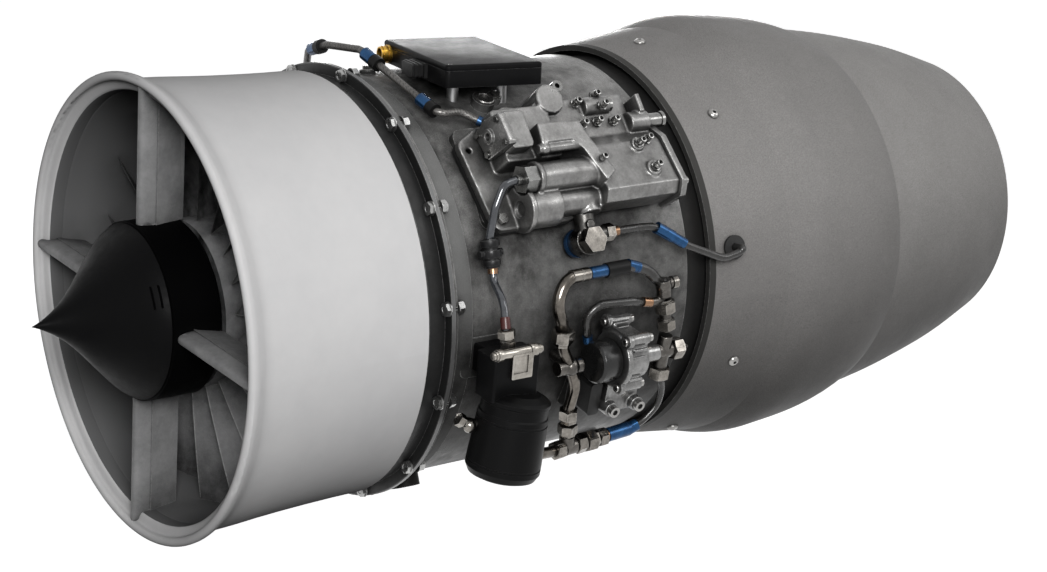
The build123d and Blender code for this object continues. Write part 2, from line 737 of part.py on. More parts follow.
def race(inner, front):
    """A plain bearing ring of one race's wall."""
    turned(
        (inner, front), (inner + RACE_WALL - 0.1, front),
        (inner + RACE_WALL - 0.1, front + BEARING_WIDTH), (inner, front + BEARING_WIDTH),
    )


with BuildPart() as fan_bearing_races:
    for shaft, front in BEARINGS[:2]:
        race(shaft + FIT, front)
fan_bearing_races.part.label = "fan_bearing_races"
export_step(fan_bearing_races.part, "parts/fan_bearing_races.step")

with BuildPart() as core_bearing_races:
    for shaft, front in BEARINGS[2:]:
        race(shaft + FIT, front)
core_bearing_races.part.label = "core_bearing_races"
export_step(core_bearing_races.part, "parts/core_bearing_races.step")

with BuildPart() as bearing_outer_races:
    for shaft, front in BEARINGS:
        race(shaft + RACE_WALL + BALL_SPACE + 0.1, front)
bearing_outer_races.part.label = "bearing_outer_races"
export_step(bearing_outer_races.part, "parts/bearing_outer_races.step")

BALL_COUNT = 12
with BuildPart() as bearing_balls:
    for shaft, front in BEARINGS:
        pitch = shaft + RACE_WALL + BALL_SPACE / 2
        for ball in range(BALL_COUNT):
            with Locations(meridian(360 / BALL_COUNT * ball).from_local_coords(rs(pitch, front + BEARING_WIDTH / 2) + (0,))):
                Sphere(BALL_R)
bearing_balls.part.label = "bearing_balls"
export_step(bearing_balls.part, "parts/bearing_balls.step")

# The exhaust frame: an outer ring, eight struts, the rear fan bearing's seat and the tail cone
FRAME_FRONT = FAN_TURBINE_FRONT + 22.0
FRAME_LENGTH = 40.0
FRAME_STRUTS = 8
CONE_SHEET = 2.5
with BuildPart() as exhaust_cone:
    turned(
        (CORE_R - 9, FRAME_FRONT), (CORE_R - CORE_WALL - 1.9, FRAME_FRONT),
        (CORE_R - CORE_WALL - 5.5, FRAME_FRONT + FRAME_LENGTH), (CORE_R - 13, FRAME_FRONT + FRAME_LENGTH),
    )
    tail = FRAME_FRONT + FRAME_LENGTH
    turned(
        (TURBINE_HUB_R - 4, FRAME_FRONT), (TURBINE_HUB_R, FRAME_FRONT), (TURBINE_HUB_R, tail),
        (TURBINE_HUB_R - 8, tail + TAIL_CONE_LENGTH * 0.3), (TURBINE_HUB_R - 28, tail + TAIL_CONE_LENGTH * 0.65),
        (16, tail + TAIL_CONE_LENGTH * 0.96), (0, tail + TAIL_CONE_LENGTH),
        (0, tail + TAIL_CONE_LENGTH - 2 * CONE_SHEET), (14, tail + TAIL_CONE_LENGTH * 0.96 - 4),
        (TURBINE_HUB_R - 31, tail + TAIL_CONE_LENGTH * 0.65 - 1),
        (TURBINE_HUB_R - 8 - CONE_SHEET, tail + TAIL_CONE_LENGTH * 0.3), (TURBINE_HUB_R - 4, tail),
    )
    turned(
        (FAN_RACE_R + FIT, FAN_REAR_BEARING - 2), (TURBINE_HUB_R - 3.5, FAN_REAR_BEARING + 2),
        (TURBINE_HUB_R - 3.5, FAN_REAR_BEARING + 6), (FAN_RACE_R + 5, FAN_REAR_BEARING + BEARING_WIDTH + 2),
        (FAN_RACE_R + FIT, FAN_REAR_BEARING + BEARING_WIDTH + 2),
    )
    for strut in range(FRAME_STRUTS):
        with BuildSketch(meridian(360 / FRAME_STRUTS * strut)):
            with BuildLine():
                Polyline(
                    rs(TURBINE_HUB_R - 1, FRAME_FRONT + 4), rs(CORE_R - 7, FRAME_FRONT + 4),
                    rs(CORE_R - 10, FRAME_FRONT + FRAME_LENGTH - 4),
                    rs(TURBINE_HUB_R - 1, FRAME_FRONT + FRAME_LENGTH - 4), close=True,
                )
            make_face()
        extrude(amount=2, both=True)
exhaust_cone.part.label = "exhaust_cone"
export_step(exhaust_cone.part, "parts/exhaust_cone.step")

# The main casing: a bolted flange in front, a band behind it and a long plain tube, with
# flat pads milled for the equipment and four threaded bosses underneath for the stand
BAND_LENGTH = 20.0
CONTROL_ZONE = skin_zone(41, 250)
OUTLET_ZONE = skin_zone(25, 330)
SENSE_ZONE = skin_zone(15, 230)
FILTER_ZONE = skin_zone(-15, 250)
PUMP_ZONE = skin_zone(-8, 300)
HEAD_ZONE = skin_zone(0, 230)
PAD_HEIGHT = 1.0
MOUNT_CLOCKS = (-65, -115)
MOUNT_STATIONS = (225, 425)
with BuildPart() as main_casing:
    turned(
        (CASING_BORE, FLANGE_STATION),
        (FLANGE_R - 2, FLANGE_STATION),
        (FLANGE_R - 2, FLANGE_STATION + FLANGE_THICKNESS),
        (BAND_R, FLANGE_STATION + FLANGE_THICKNESS),
        (BAND_R, FLANGE_STATION + FLANGE_THICKNESS + BAND_LENGTH),
        (CASING_R, FLANGE_STATION + FLANGE_THICKNESS + BAND_LENGTH + 1),
        (CASING_R, CASING_REAR),
        (CASING_BORE, CASING_REAR),
    )
    block(facing(CONTROL_ZONE, 40, 8, -14, "out"), 112, 88, 14 + PAD_HEIGHT, 8)
    block(facing(PUMP_ZONE, 54, -36, -12, "out"), 62, 46, 12 + PAD_HEIGHT, 6)
    block(facing(HEAD_ZONE, -2, -14, -12, "out"), 46, 34, 12 + PAD_HEIGHT, 6)
    for clock in MOUNT_CLOCKS:
        for station in MOUNT_STATIONS:
            disc(skin_zone(clock, station, -8), MOUNT_BOSS_R, 8 + MOUNT_HEIGHT)
    disc(skin_zone(68, 288, -5), 10, 12.5)
    disc(skin_zone(69.4, 302, -5), 6.5, 11)
    disc(skin_zone(98, 231, -5), 7, 8)
    round_core(CASING_BORE, FLANGE_STATION - 1, CASING_REAR + 1)
    for clock in MOUNT_CLOCKS:
        for station in MOUNT_STATIONS:
            disc(skin_zone(clock, station, MOUNT_HEIGHT - MOUNT_DEPTH), MOUNT_THREAD_R, MOUNT_DEPTH + 1, mode=Mode.SUBTRACT)
            with BuildSketch(skin_zone(clock, station, MOUNT_HEIGHT)) as rim:
                Circle(MOUNT_THREAD_R + 1)
            extrude(rim.sketch, amount=-1, taper=45, mode=Mode.SUBTRACT)
    disc(skin_zone(68, 288, -2), 4, 12, mode=Mode.SUBTRACT)
    disc(skin_zone(69.4, 302, 0), 2.5, 8, mode=Mode.SUBTRACT)
    for bolt in range(FLANGE_BOLTS):
        clock = FLANGE_PHASE + 360 / FLANGE_BOLTS * bolt
        hole = meridian(clock).from_local_coords((BOLT_CIRCLE_R, y_at(FLANGE_STATION) - 1, 0))
        disc(Plane(origin=hole, z_dir=(0, 1, 0)), BOLT_R + FIT, FLANGE_THICKNESS + 1, mode=Mode.SUBTRACT)
main_casing.part.label = "main_casing"
export_step(main_casing.part, "parts/main_casing.step")

# The flange's hexagon bolts and their nuts, one pair for each hole
with BuildPart() as flange_bolts:
    for bolt in range(FLANGE_BOLTS):
        clock = FLANGE_PHASE + 360 / FLANGE_BOLTS * bolt
        spot = meridian(clock).from_local_coords((BOLT_CIRCLE_R, y_at(FLANGE_STATION - FLANGE_THICKNESS), 0))
        seat = Plane(origin=spot, x_dir=(-sin(radians(clock)), 0, cos(radians(clock))), z_dir=(0, 1, 0))
        disc(seat, BOLT_R, 2 * FLANGE_THICKNESS + 8)
        hexagon(seat, BOLT_HEAD, -4.5)
        hexagon(seat.offset(2 * FLANGE_THICKNESS), BOLT_HEAD, 6)
flange_bolts.part.label = "flange_bolts"
export_step(flange_bolts.part, "parts/flange_bolts.step")

# The ring that carries the cowl, set in the casing's rear end
RING_SPIGOT = 15.0
RING_R = 172.0
RING_BORE = 166.0
RIM_LENGTH = 15.0
RING_REAR = 512.0


def cowl_inner(station):
    """The radius of the cowl's inner face on its straight front taper."""
    return COWL_LIP_R - SKIN + (station - COWL_FRONT) * COWL_SLOPE


# The cowl's bulge behind the crease, its inner ledge and the row of screws in its front taper
BULGE = [
    (19, CREASE_R + 0.71 * (BULGE_R - CREASE_R)),
    (38, BULGE_R),
    (59, COWL_REAR_R + 0.942 * (BULGE_R - COWL_REAR_R)),
    (96, COWL_REAR_R + 0.746 * (BULGE_R - COWL_REAR_R)),
    (121, COWL_REAR_R + 0.48 * (BULGE_R - COWL_REAR_R)),
    (147, COWL_REAR_R),
]
LIP_DEPTH = 6.0
LEDGE = 10.0
SPIGOT_WALL = 5.0
COWL_SCREWS = 9
SCREW_STATION = 505.0
SCREW_PHASE = -20.0
SCREW_R = 2.0
GROMMET_CLOCK = 14.4
GROMMET_STATION = 487.0
cowl_tilt = degrees(atan(COWL_SLOPE))


def cowl_seat(clock, station):
    """A plane on the cowl's front taper that faces out along its normal."""
    angle = radians(clock)
    out = Vector(cos(angle), 0, sin(angle))
    spot = out * (COWL_LIP_R + (station - COWL_FRONT) * COWL_SLOPE) + Vector(0, y_at(station), 0)
    normal = out * cos(radians(cowl_tilt)) - Vector(0, 1, 0) * sin(radians(cowl_tilt))
    return Plane(origin=spot, x_dir=out.cross(Vector(0, 1, 0)), z_dir=normal)


with BuildPart() as cowl_support_ring:
    turned(
        (RING_BORE, CASING_REAR - RING_SPIGOT),
        (CASING_BORE - FIT, CASING_REAR - RING_SPIGOT),
        (CASING_BORE - FIT, CASING_REAR),
        (RING_R, CASING_REAR),
        (RING_R, RING_REAR - RIM_LENGTH),
        (cowl_inner(RING_REAR - RIM_LENGTH) - FIT, RING_REAR - RIM_LENGTH),
        (cowl_inner(RING_REAR) - FIT, RING_REAR),
        (RING_BORE, RING_REAR),
    )
    for screw in range(COWL_SCREWS + 1):
        if screw != 1:
            disc(cowl_seat(SCREW_PHASE + 36 * screw, SCREW_STATION).offset(-8), SCREW_R + FIT, 12, mode=Mode.SUBTRACT)
cowl_support_ring.part.label = "cowl_support_ring"
export_step(cowl_support_ring.part, "parts/cowl_support_ring.step")

# The rear cowl: a straight flare to a crease, then a full bulge down to the nozzle
with BuildPart() as rear_cowl:
    with BuildSketch(Plane.XY):
        with BuildLine():
            Line(rs(COWL_LIP_R, COWL_FRONT), rs(CREASE_R, CREASE_STATION))
            Spline(rs(CREASE_R, CREASE_STATION), *[rs(radius, CREASE_STATION + behind) for behind, radius in BULGE])
            Polyline(
                rs(COWL_REAR_R, COWL_REAR),
                rs(COWL_REAR_R - SKIN - 2.3, COWL_REAR),
                rs(COWL_REAR_R - SKIN - 2.3, COWL_REAR - LEDGE),
                *[rs(radius - SKIN, CREASE_STATION + behind) for behind, radius in reversed(BULGE[:-1])],
                rs(CREASE_R - SKIN, CREASE_STATION),
                rs(cowl_inner(COWL_FRONT + LIP_DEPTH), COWL_FRONT + LIP_DEPTH),
                rs(COWL_LIP_BORE, COWL_FRONT + LIP_DEPTH),
                rs(COWL_LIP_BORE, COWL_FRONT),
                rs(COWL_LIP_R, COWL_FRONT),
            )
        make_face()
    revolve(axis=Axis.Y)
    for screw in range(COWL_SCREWS + 1):
        if screw != 1:
            disc(cowl_seat(SCREW_PHASE + 36 * screw, SCREW_STATION).offset(-8), SCREW_R + FIT, 12, mode=Mode.SUBTRACT)
    disc(cowl_seat(GROMMET_CLOCK, GROMMET_STATION).offset(-12), 7.5, 20, mode=Mode.SUBTRACT)
rear_cowl.part.label = "rear_cowl"
export_step(rear_cowl.part, "parts/rear_cowl.step")

# The exhaust nozzle: a spun cone drawn in to the exit, with a true bore at its end
NOZZLE_LINE = [(27, 179.4), (66, 173.4), (105, 165.5), (144, 156.2), (172, 147.5)]
BORE_LAND = 10.0
with BuildPart() as exhaust_nozzle:
    with BuildSketch(Plane.XY):
        with BuildLine():
            Spline(
                rs(NOZZLE_FRONT_R, COWL_REAR),
                *[rs(radius, COWL_REAR + behind) for behind, radius in NOZZLE_LINE],
                rs(EXIT_R, EXIT_STATION),
            )
            Polyline(
                rs(EXIT_R, EXIT_STATION),
                rs(EXIT_BORE, EXIT_STATION),
                rs(EXIT_BORE, EXIT_STATION - BORE_LAND),
                *[rs(radius - SKIN, COWL_REAR + behind) for behind, radius in reversed(NOZZLE_LINE)],
                rs(NOZZLE_FRONT_R - SKIN - SPIGOT_WALL, COWL_REAR - LEDGE),
                rs(COWL_REAR_R - SKIN - 2.3 - FIT, COWL_REAR - LEDGE),
                rs(COWL_REAR_R - SKIN - 2.3 - FIT, COWL_REAR),
                rs(NOZZLE_FRONT_R, COWL_REAR),
            )
        make_face()
    revolve(axis=Axis.Y)
exhaust_nozzle.part.label = "exhaust_nozzle"
export_step(exhaust_nozzle.part, "parts/exhaust_nozzle.step")

# The cowl's button head screws, with a socket each, and the grommet beside them
with BuildPart() as cowl_screws:
    for screw in range(COWL_SCREWS + 1):
        if screw != 1:
            head = cowl_seat(SCREW_PHASE + 36 * screw, SCREW_STATION)
            with BuildSketch(head) as button:
                Circle(5.25)
            extrude(button.sketch, amount=1.2)
            extrude(offset(button.sketch.moved(Location(head.z_dir * 1.2)), -0.01), amount=2.1, taper=38)
            with BuildSketch(head.offset(3.3)) as socket:
                RegularPolygon(radius=1.5, side_count=6, major_radius=False)
            extrude(socket.sketch, amount=-2, mode=Mode.SUBTRACT)
            disc(head, SCREW_R, -7)
cowl_screws.part.label = "cowl_screws"
export_step(cowl_screws.part, "parts/cowl_screws.step")

with BuildPart() as cowl_grommet:
    seat = cowl_seat(GROMMET_CLOCK, GROMMET_STATION)
    disc(seat.offset(0.3), 10.5, 2.4, 3.6)
    disc(seat.offset(-4), 7.3, 5, 3.6)
cowl_grommet.part.label = "cowl_grommet"
export_step(cowl_grommet.part, "parts/cowl_grommet.step")


def spot_at(clock, station, height):
    """A point a height above the casing at a clock angle and a station."""
    return skin_zone(clock, station, height).origin


def sleeve(start, end, setback, length, radius):
    """A round sleeve about the straight run from one point to another."""
    disc(along(start, end, setback), radius, length)


def spun(plane, *points, mode=Mode.ADD):
    """A turned solid about a plane's normal, from radius and height pairs."""
    side = Plane(origin=plane.origin, x_dir=plane.x_dir, z_dir=plane.y_dir * -1)
    with BuildSketch(side) as section:
        with BuildLine():
            Polyline(*points, close=True)
        make_face()
    revolve(section.sketch, axis=Axis(plane.origin, plane.z_dir), mode=mode)


# The control box: a tray and a lid on four stand-offs, turned a little to the engine's axis
BOX_WIDTH = 134.0
BOX_DEPTH = 89.0
BOX_TRAY = 14.0
BOX_LID = 5.0
BOX_CORNER = 4.0
BOX_WALL = 2.5
BOX_POSTS_ACROSS = 66.0
BOX_POSTS_ALONG = 45.0
STANDOFF_R = 5.0
BOX_BASE = Plane(
    origin=Vector(23, y_at(295), 181), x_dir=Vector(0.982, -0.173, 0.0700), z_dir=Vector(-0.0690, 0.0121, 0.9975)
)
BOX_PORT = facing(BOX_BASE, -BOX_WIDTH / 2 + 14, -BOX_DEPTH / 2, 8.5, "down")
BOX_SOCKET = facing(BOX_BASE, BOX_WIDTH * 0.12, -BOX_DEPTH / 2, 8.0, "down")
with BuildPart() as control_box:
    block(BOX_BASE, BOX_WIDTH, BOX_DEPTH, BOX_TRAY, BOX_CORNER)
    block(
        BOX_BASE.offset(BOX_WALL), BOX_WIDTH - 2 * BOX_WALL, BOX_DEPTH - 2 * BOX_WALL,
        BOX_TRAY, BOX_CORNER - BOX_WALL, mode=Mode.SUBTRACT,
    )
    disc(BOX_PORT.offset(-4), 4.5 + FIT, 6, mode=Mode.SUBTRACT)
    block(BOX_SOCKET.offset(-4), 24, 9, 6, mode=Mode.SUBTRACT)
control_box.part.label = "control_box"
export_step(control_box.part, "parts/control_box.step")

with BuildPart() as control_box_lid:
    block(BOX_BASE.offset(BOX_TRAY), BOX_WIDTH, BOX_DEPTH, BOX_LID, BOX_CORNER)
    chamfer(control_box_lid.faces().sort_by(Axis(BOX_BASE.origin, BOX_BASE.z_dir))[-1].edges(), 1.4)
control_box_lid.part.label = "control_box_lid"
export_step(control_box_lid.part, "parts/control_box_lid.step")

with BuildPart() as box_standoffs:
    with BuildSketch(BOX_BASE) as posts:
        with GridLocations(BOX_POSTS_ACROSS, BOX_POSTS_ALONG, 2, 2):
            Circle(STANDOFF_R)
    extrude(posts.sketch, amount=-60)
    round_core(CASING_R, FLANGE_STATION + 30, CASING_REAR)
    add(main_casing.part, mode=Mode.SUBTRACT)
box_standoffs.part.label = "box_standoffs"
export_step(box_standoffs.part, "parts/box_standoffs.step")

with BuildPart() as box_connector:
    disc(BOX_PORT, 8, 2.5)
    disc(BOX_PORT.offset(-3), 4.5, 4)
    disc(BOX_PORT.offset(2), 6.6, 7)
    disc(BOX_PORT.offset(4.5), 7.2, 2.5)
    disc(BOX_PORT.offset(5), 5.4, 5, mode=Mode.SUBTRACT)
box_connector.part.label = "box_connector"
export_step(box_connector.part, "parts/box_connector.step")

with BuildPart() as box_plug:
    block(BOX_SOCKET.offset(-3), 24 - 2 * FIT, 9 - 2 * FIT, 5)
    block(BOX_SOCKET, 27, 12, 3)
    block(BOX_SOCKET.offset(2), 22, 11, 11, 1.5)
    block(BOX_SOCKET.offset(5), 23.4, 12.4, 2, 1.5)
    block(BOX_SOCKET.offset(9), 23.4, 12.4, 2, 1.5)
box_plug.part.label = "box_plug"
export_step(box_plug.part, "parts/box_plug.step")

# The wiring conduit: from the far side of the casing, over the top and down to the fuel control
CONDUIT_R = 3.2
CONDUIT = [
    spot_at(126, 224, 1),
    spot_at(126, 224, 18),
    spot_at(114, 206, 25),
    spot_at(103, 202, 26),
    spot_at(92, 211, 25),
    spot_at(59.5, 221, 22),
    spot_at(60, 243, 21),
    at(CONTROL_ZONE, 4 - FIT, 53, 14),
]
with BuildPart() as wiring_conduit:
    pipe(CONDUIT, CONDUIT_R, 14)
wiring_conduit.part.label = "wiring_conduit"
export_step(wiring_conduit.part, "parts/wiring_conduit.step")

# The fuel control: a cast body on a gasket and a foot plate. The zone's x runs aft,
# y runs up the clock and h runs out from the casing
FOOT_OUTLINE = [(-22, 36), (-14, -44), (60, -44), (105, -30), (105, 48), (35, 64)]
FOOT_HOLES = [(-13, 28), (-6, -35), (97, -24)]
GASKET_TOP = 5.0
FOOT_TOP = 12.0
REAR_SECTION = [(28, 6), (28, 24), (8, 38), (-34, 44), (-42, 36), (-40, 8)]
REAR_FRONT = 84.0
REAR_END = 160.0
HEAD_PLATE = [(41.5, 53), (13, 55), (15, 18), (41.5, 12), (45, 31)]
HEAD_PORT = (30, 31.5)
BARREL_Y = -12.0
BARREL_H = 36.0
with BuildPart() as control_gasket:
    prism(facing(CONTROL_ZONE, 0, 0, PAD_HEIGHT, "out"), FOOT_OUTLINE, GASKET_TOP - PAD_HEIGHT, 8)
    for x, y in FOOT_HOLES:
        disc(facing(CONTROL_ZONE, x, y, 0, "out"), 2.6, 9, mode=Mode.SUBTRACT)
control_gasket.part.label = "control_gasket"
export_step(control_gasket.part, "parts/control_gasket.step")

with BuildPart() as fuel_control_body:
    prism(facing(CONTROL_ZONE, 0, 0, GASKET_TOP, "out"), FOOT_OUTLINE, FOOT_TOP - GASKET_TOP, 8)
    block(facing(CONTROL_ZONE, 32, 28.5, FOOT_TOP - 2, "out"), 56, 47, 24, 3)
    block(facing(CONTROL_ZONE, 97, 34, FOOT_TOP - 2, "out"), 94, 44, 20, 4)
    block(facing(CONTROL_ZONE, 15, 28, FOOT_TOP - 2, "out"), 22, 33, 37, 4)
    disc(facing(CONTROL_ZONE, 66, 56, FOOT_TOP - 3, "out"), 13, 27)
    prism(
        facing(CONTROL_ZONE, 0, 0, 20, "out"),
        [(33, 30), (75, 28), (80, 12), (94, -20), (82, -27), (70, 3), (62, 12), (31, 12)], 30, 1.5,
    )
    prism(facing(CONTROL_ZONE, REAR_FRONT, 0, 0, "aft"), REAR_SECTION, REAR_END - REAR_FRONT, 3)
    disc(facing(CONTROL_ZONE, 20, BARREL_Y, BARREL_H, "aft"), 13.5, 4)
    disc(facing(CONTROL_ZONE, 24, BARREL_Y, BARREL_H, "aft"), 12, 60)
    disc(facing(CONTROL_ZONE, 8, -32, 21, "aft"), 19.5, 5)
    disc(facing(CONTROL_ZONE, 13, -32, 21, "aft"), 17, 28)
    disc(facing(CONTROL_ZONE, 40, -30, 20, "aft"), 12, 47)
    disc(facing(CONTROL_ZONE, 28, 8.5, 45, "aft"), 4, 46)
    disc(facing(CONTROL_ZONE, 32, 8.5, 45, "aft"), 5, 5)
    block(facing(CONTROL_ZONE, 34.5, 8.5, 30, "out"), 5, 6, 14)
    disc(facing(CONTROL_ZONE, 98, 47, 30, "aft"), 8, 26)
    disc(facing(CONTROL_ZONE, 84, -8, 41, "out"), 6, 6)
    disc(facing(CONTROL_ZONE, 133, 4, 30, "out"), 6, 12)
    disc(facing(CONTROL_ZONE, 138, -20, 30, "out"), 7, 15.5)
    disc(facing(CONTROL_ZONE, 76, -44, 20, "up"), 10, 26)
    block(facing(CONTROL_ZONE, 151, 41, 20, "out"), 5, 16, 22)
    disc(facing(CONTROL_ZONE, 138, 28, 31, "aft"), 9, 20)
    for x, y in FOOT_HOLES:
        disc(facing(CONTROL_ZONE, x, y, 0, "out"), 2.6, 20, mode=Mode.SUBTRACT)
    disc(facing(CONTROL_ZONE, 8, -32, 21, "aft"), 7, 3, mode=Mode.SUBTRACT)
    disc(facing(CONTROL_ZONE, 0, BARREL_Y, BARREL_H, "aft"), 13, 20, mode=Mode.SUBTRACT)
    block(facing(CONTROL_ZONE, 40, 0, -20, "out"), 300, 200, 20 + GASKET_TOP, mode=Mode.SUBTRACT)
fuel_control_body.part.label = "fuel_control_body"
export_step(fuel_control_body.part, "parts/fuel_control_body.step")

with BuildPart() as fuel_control_covers:
    prism(facing(CONTROL_ZONE, -3, 0, 0, "aft"), HEAD_PLATE, 7, 3)
    disc(facing(CONTROL_ZONE, -3, *HEAD_PORT, "front"), 6.5, 3)
    disc(facing(CONTROL_ZONE, 1, *HEAD_PORT, "front"), 3.2, 9, mode=Mode.SUBTRACT)
    prism(
        facing(CONTROL_ZONE, REAR_END, 0, 0, "aft"),
        [(31, 6), (31, 25), (9, 41), (-36, 47), (-46, 37), (-43, 6)], 6, 4,
    )
fuel_control_covers.part.label = "fuel_control_covers"
export_step(fuel_control_covers.part, "parts/fuel_control_covers.step")

# The small fittings of the fuel control: cover screws, nipples and the solenoid's end ring
NIPPLES = [(93, 51, 30), (115, 56, 30), (113, 43, 38), (92, 31, 30), (108, 32, 30), (125, 31, 30)]
RAISED_NIPPLES = [(133, 4, 42), (146, 8, 37.4), (84, -8, 47), (138, -20, 45.5)]
COVER_SCREWS = [(37.5, 48), (17, 49), (18.5, 21), (38.5, 16)]
END_SCREWS = [(26, 9), (26, 23), (-34, 41), (-40, 11)]
with BuildPart() as fuel_control_fittings:
    for y, h in COVER_SCREWS:
        disc(facing(CONTROL_ZONE, -3, y, h, "front"), 2.6, 2)
    for y, h in END_SCREWS:
        disc(facing(CONTROL_ZONE, REAR_END + 6, y, h, "aft"), 3.2, 3)
    for x, y, h in NIPPLES + RAISED_NIPPLES:
        disc(facing(CONTROL_ZONE, x, y, h, "out"), 3.8, 2)
        disc(facing(CONTROL_ZONE, x, y, h + 1, "out"), 2.5, 7, 1.3)
        disc(facing(CONTROL_ZONE, x, y, h + 6, "out"), 3.0, 1.5, 1.3)
    disc(facing(CONTROL_ZONE, 158, 28, 31, "aft"), 6, 16)
    disc(facing(CONTROL_ZONE, 173, 28, 31, "aft"), 7, 3, 3)
    sleeve(at(CONTROL_ZONE, 70, 62, 21), at(CONTROL_ZONE, 84, 70, 22), 0, 16, 3.4)
    disc(facing(CONTROL_ZONE, 86, 71, 18, "out"), 5, 8, 2.4)
    disc(facing(CONTROL_ZONE, 124, 47, 30, "aft"), 6, 4, 3)
    for x, y in FOOT_HOLES[1:]:
        hexagon(facing(CONTROL_ZONE, x, y, FOOT_TOP, "out"), 8, 4)
    add(fuel_control_body.part, mode=Mode.SUBTRACT)
    add(fuel_control_covers.part, mode=Mode.SUBTRACT)
fuel_control_fittings.part.label = "fuel_control_fittings"
export_step(fuel_control_fittings.part, "parts/fuel_control_fittings.step")

with BuildPart() as barrel_gland:
    disc(facing(CONTROL_ZONE, 3, BARREL_Y, BARREL_H, "aft"), 4.6, 6)
    hexagon(facing(CONTROL_ZONE, 8, BARREL_Y, BARREL_H, "aft"), 21, 12)
barrel_gland.part.label = "barrel_gland"
export_step(barrel_gland.part, "parts/barrel_gland.step")

# The outlet elbow under the fuel control, and its hose back to the cowl's grommet
with BuildPart() as outlet_elbow:
    disc(facing(OUTLET_ZONE, -8, -10, 19.6, "up"), 9, 23)
    disc(facing(OUTLET_ZONE, -9, -10, 9, "out"), 12, 14)
    disc(facing(OUTLET_ZONE, -4, -5, 17, "aft"), 6, 16)
    disc(facing(OUTLET_ZONE, -9, 3, 24, "out"), 4, 6)
    add(fuel_control_body.part, mode=Mode.SUBTRACT)
    add(control_gasket.part, mode=Mode.SUBTRACT)
outlet_elbow.part.label = "outlet_elbow"
export_step(outlet_elbow.part, "parts/outlet_elbow.step")

OUTLET_HOSE = [
    at(OUTLET_ZONE, 20, -5, 17),
    at(OUTLET_ZONE, 46, -5, 18),
    at(OUTLET_ZONE, 63, -6, 20),
    at(OUTLET_ZONE, 96, -27, 20),
    at(OUTLET_ZONE, 134, -43, 18),
    at(OUTLET_ZONE, 152, -40, 19),
]
GROMMET_SEAT = cowl_seat(GROMMET_CLOCK, GROMMET_STATION)
with BuildPart() as outlet_hose:
    pipe(OUTLET_HOSE + [GROMMET_SEAT.offset(16).origin, GROMMET_SEAT.offset(-4).origin], 3.3, 24)
outlet_hose.part.label = "outlet_hose"
export_step(outlet_hose.part, "parts/outlet_hose.step")

# The sense line: a clear tube from the fuel control's barrel, a union and a tube to the filter
SENSE_UPPER = [
    at(CONTROL_ZONE, 3 - FIT, BARREL_Y, BARREL_H),
    at(CONTROL_ZONE, -9, BARREL_Y - 2, BARREL_H - 1),
    at(SENSE_ZONE, 2, 62, 18),
    at(SENSE_ZONE, -2, 37.5, 12),
]
SENSE_LOWER = [
    at(SENSE_ZONE, -1, 14, 12),
    at(SENSE_ZONE, -2, 3, 13),
    at(HEAD_ZONE, -6, 41, 27),
    at(HEAD_ZONE, -10, 24, 37),
    at(HEAD_ZONE, -7, 9, 38),
]
with BuildPart() as sense_tubes:
    pipe(SENSE_UPPER, 3.4, 26)
    pipe(SENSE_LOWER, 3.2, 30)
    add(barrel_gland.part, mode=Mode.SUBTRACT)
sense_tubes.part.label = "sense_tubes"
export_step(sense_tubes.part, "parts/sense_tubes.step")

with BuildPart() as sense_union:
    disc(along(SENSE_UPPER[3], SENSE_LOWER[0], FIT), 6, (SENSE_LOWER[0] - SENSE_UPPER[3]).length - 2 * FIT)
    disc(along(SENSE_UPPER[3], SENSE_LOWER[0], 1), 8, 5)
    disc(along(SENSE_UPPER[3], SENSE_LOWER[0], 9), 8.6, 6)
    disc(along(SENSE_UPPER[3], SENSE_LOWER[0], 17.5), 7.4, 4)
    disc(facing(SENSE_ZONE, -2, 26, 12, "aft"), 3, 11)
    disc(facing(SENSE_ZONE, -2, 26, 12, "front"), 3, 11)
    disc(facing(SENSE_ZONE, -2, 26, 0.1, "out"), 3, 8)
    add(sense_tubes.part, mode=Mode.SUBTRACT)
sense_union.part.label = "sense_union"
export_step(sense_union.part, "parts/sense_union.step")

# The filter: a round canister under a square head, clamped by a pin and a saddle plate
CANISTER_R = 31.0
CANISTER_TOP_R = 28.4
CANISTER = Plane(origin=at(HEAD_ZONE, -7.8, -103.3, 42.5), z_dir=Vector(0, 0.145, 0.989))
with BuildPart() as filter_canister:
    spun(
        CANISTER, (0, 0), (CANISTER_R - 9, 0), (CANISTER_R - 3, 2.5), (CANISTER_R, 8), (CANISTER_R, 12),
        (CANISTER_R - 0.7, 12.4), (CANISTER_R - 0.7, 13.6), (CANISTER_R, 14), (CANISTER_R - 1.6, 49),
        (CANISTER_R - 2.4, 49.4), (CANISTER_R - 2.4, 50.6), (CANISTER_R - 1.8, 51), (CANISTER_R - 2.2, 55),
        (CANISTER_TOP_R - 0.6, 56), (CANISTER_TOP_R - 0.8, 64), (CANISTER_TOP_R + 0.4, 65),
        (CANISTER_TOP_R + 0.4, 68), (CANISTER_TOP_R - 2, 70), (CANISTER_TOP_R - 9, 73.4), (0, 74),
    )
filter_canister.part.label = "filter_canister"
export_step(filter_canister.part, "parts/filter_canister.step")

with BuildPart() as filter_head:
    block(facing(HEAD_ZONE, -5.5, -33, 38, "up"), 44, 26, 37, 2)
    block(facing(HEAD_ZONE, 1.5, -13, PAD_HEIGHT, "out"), 30, 24, 26, 2)
    disc(facing(HEAD_ZONE, -7, 3, 38, "up"), 6, 3)
    add(filter_canister.part, mode=Mode.SUBTRACT)
filter_head.part.label = "filter_head"
export_step(filter_head.part, "parts/filter_head.step")

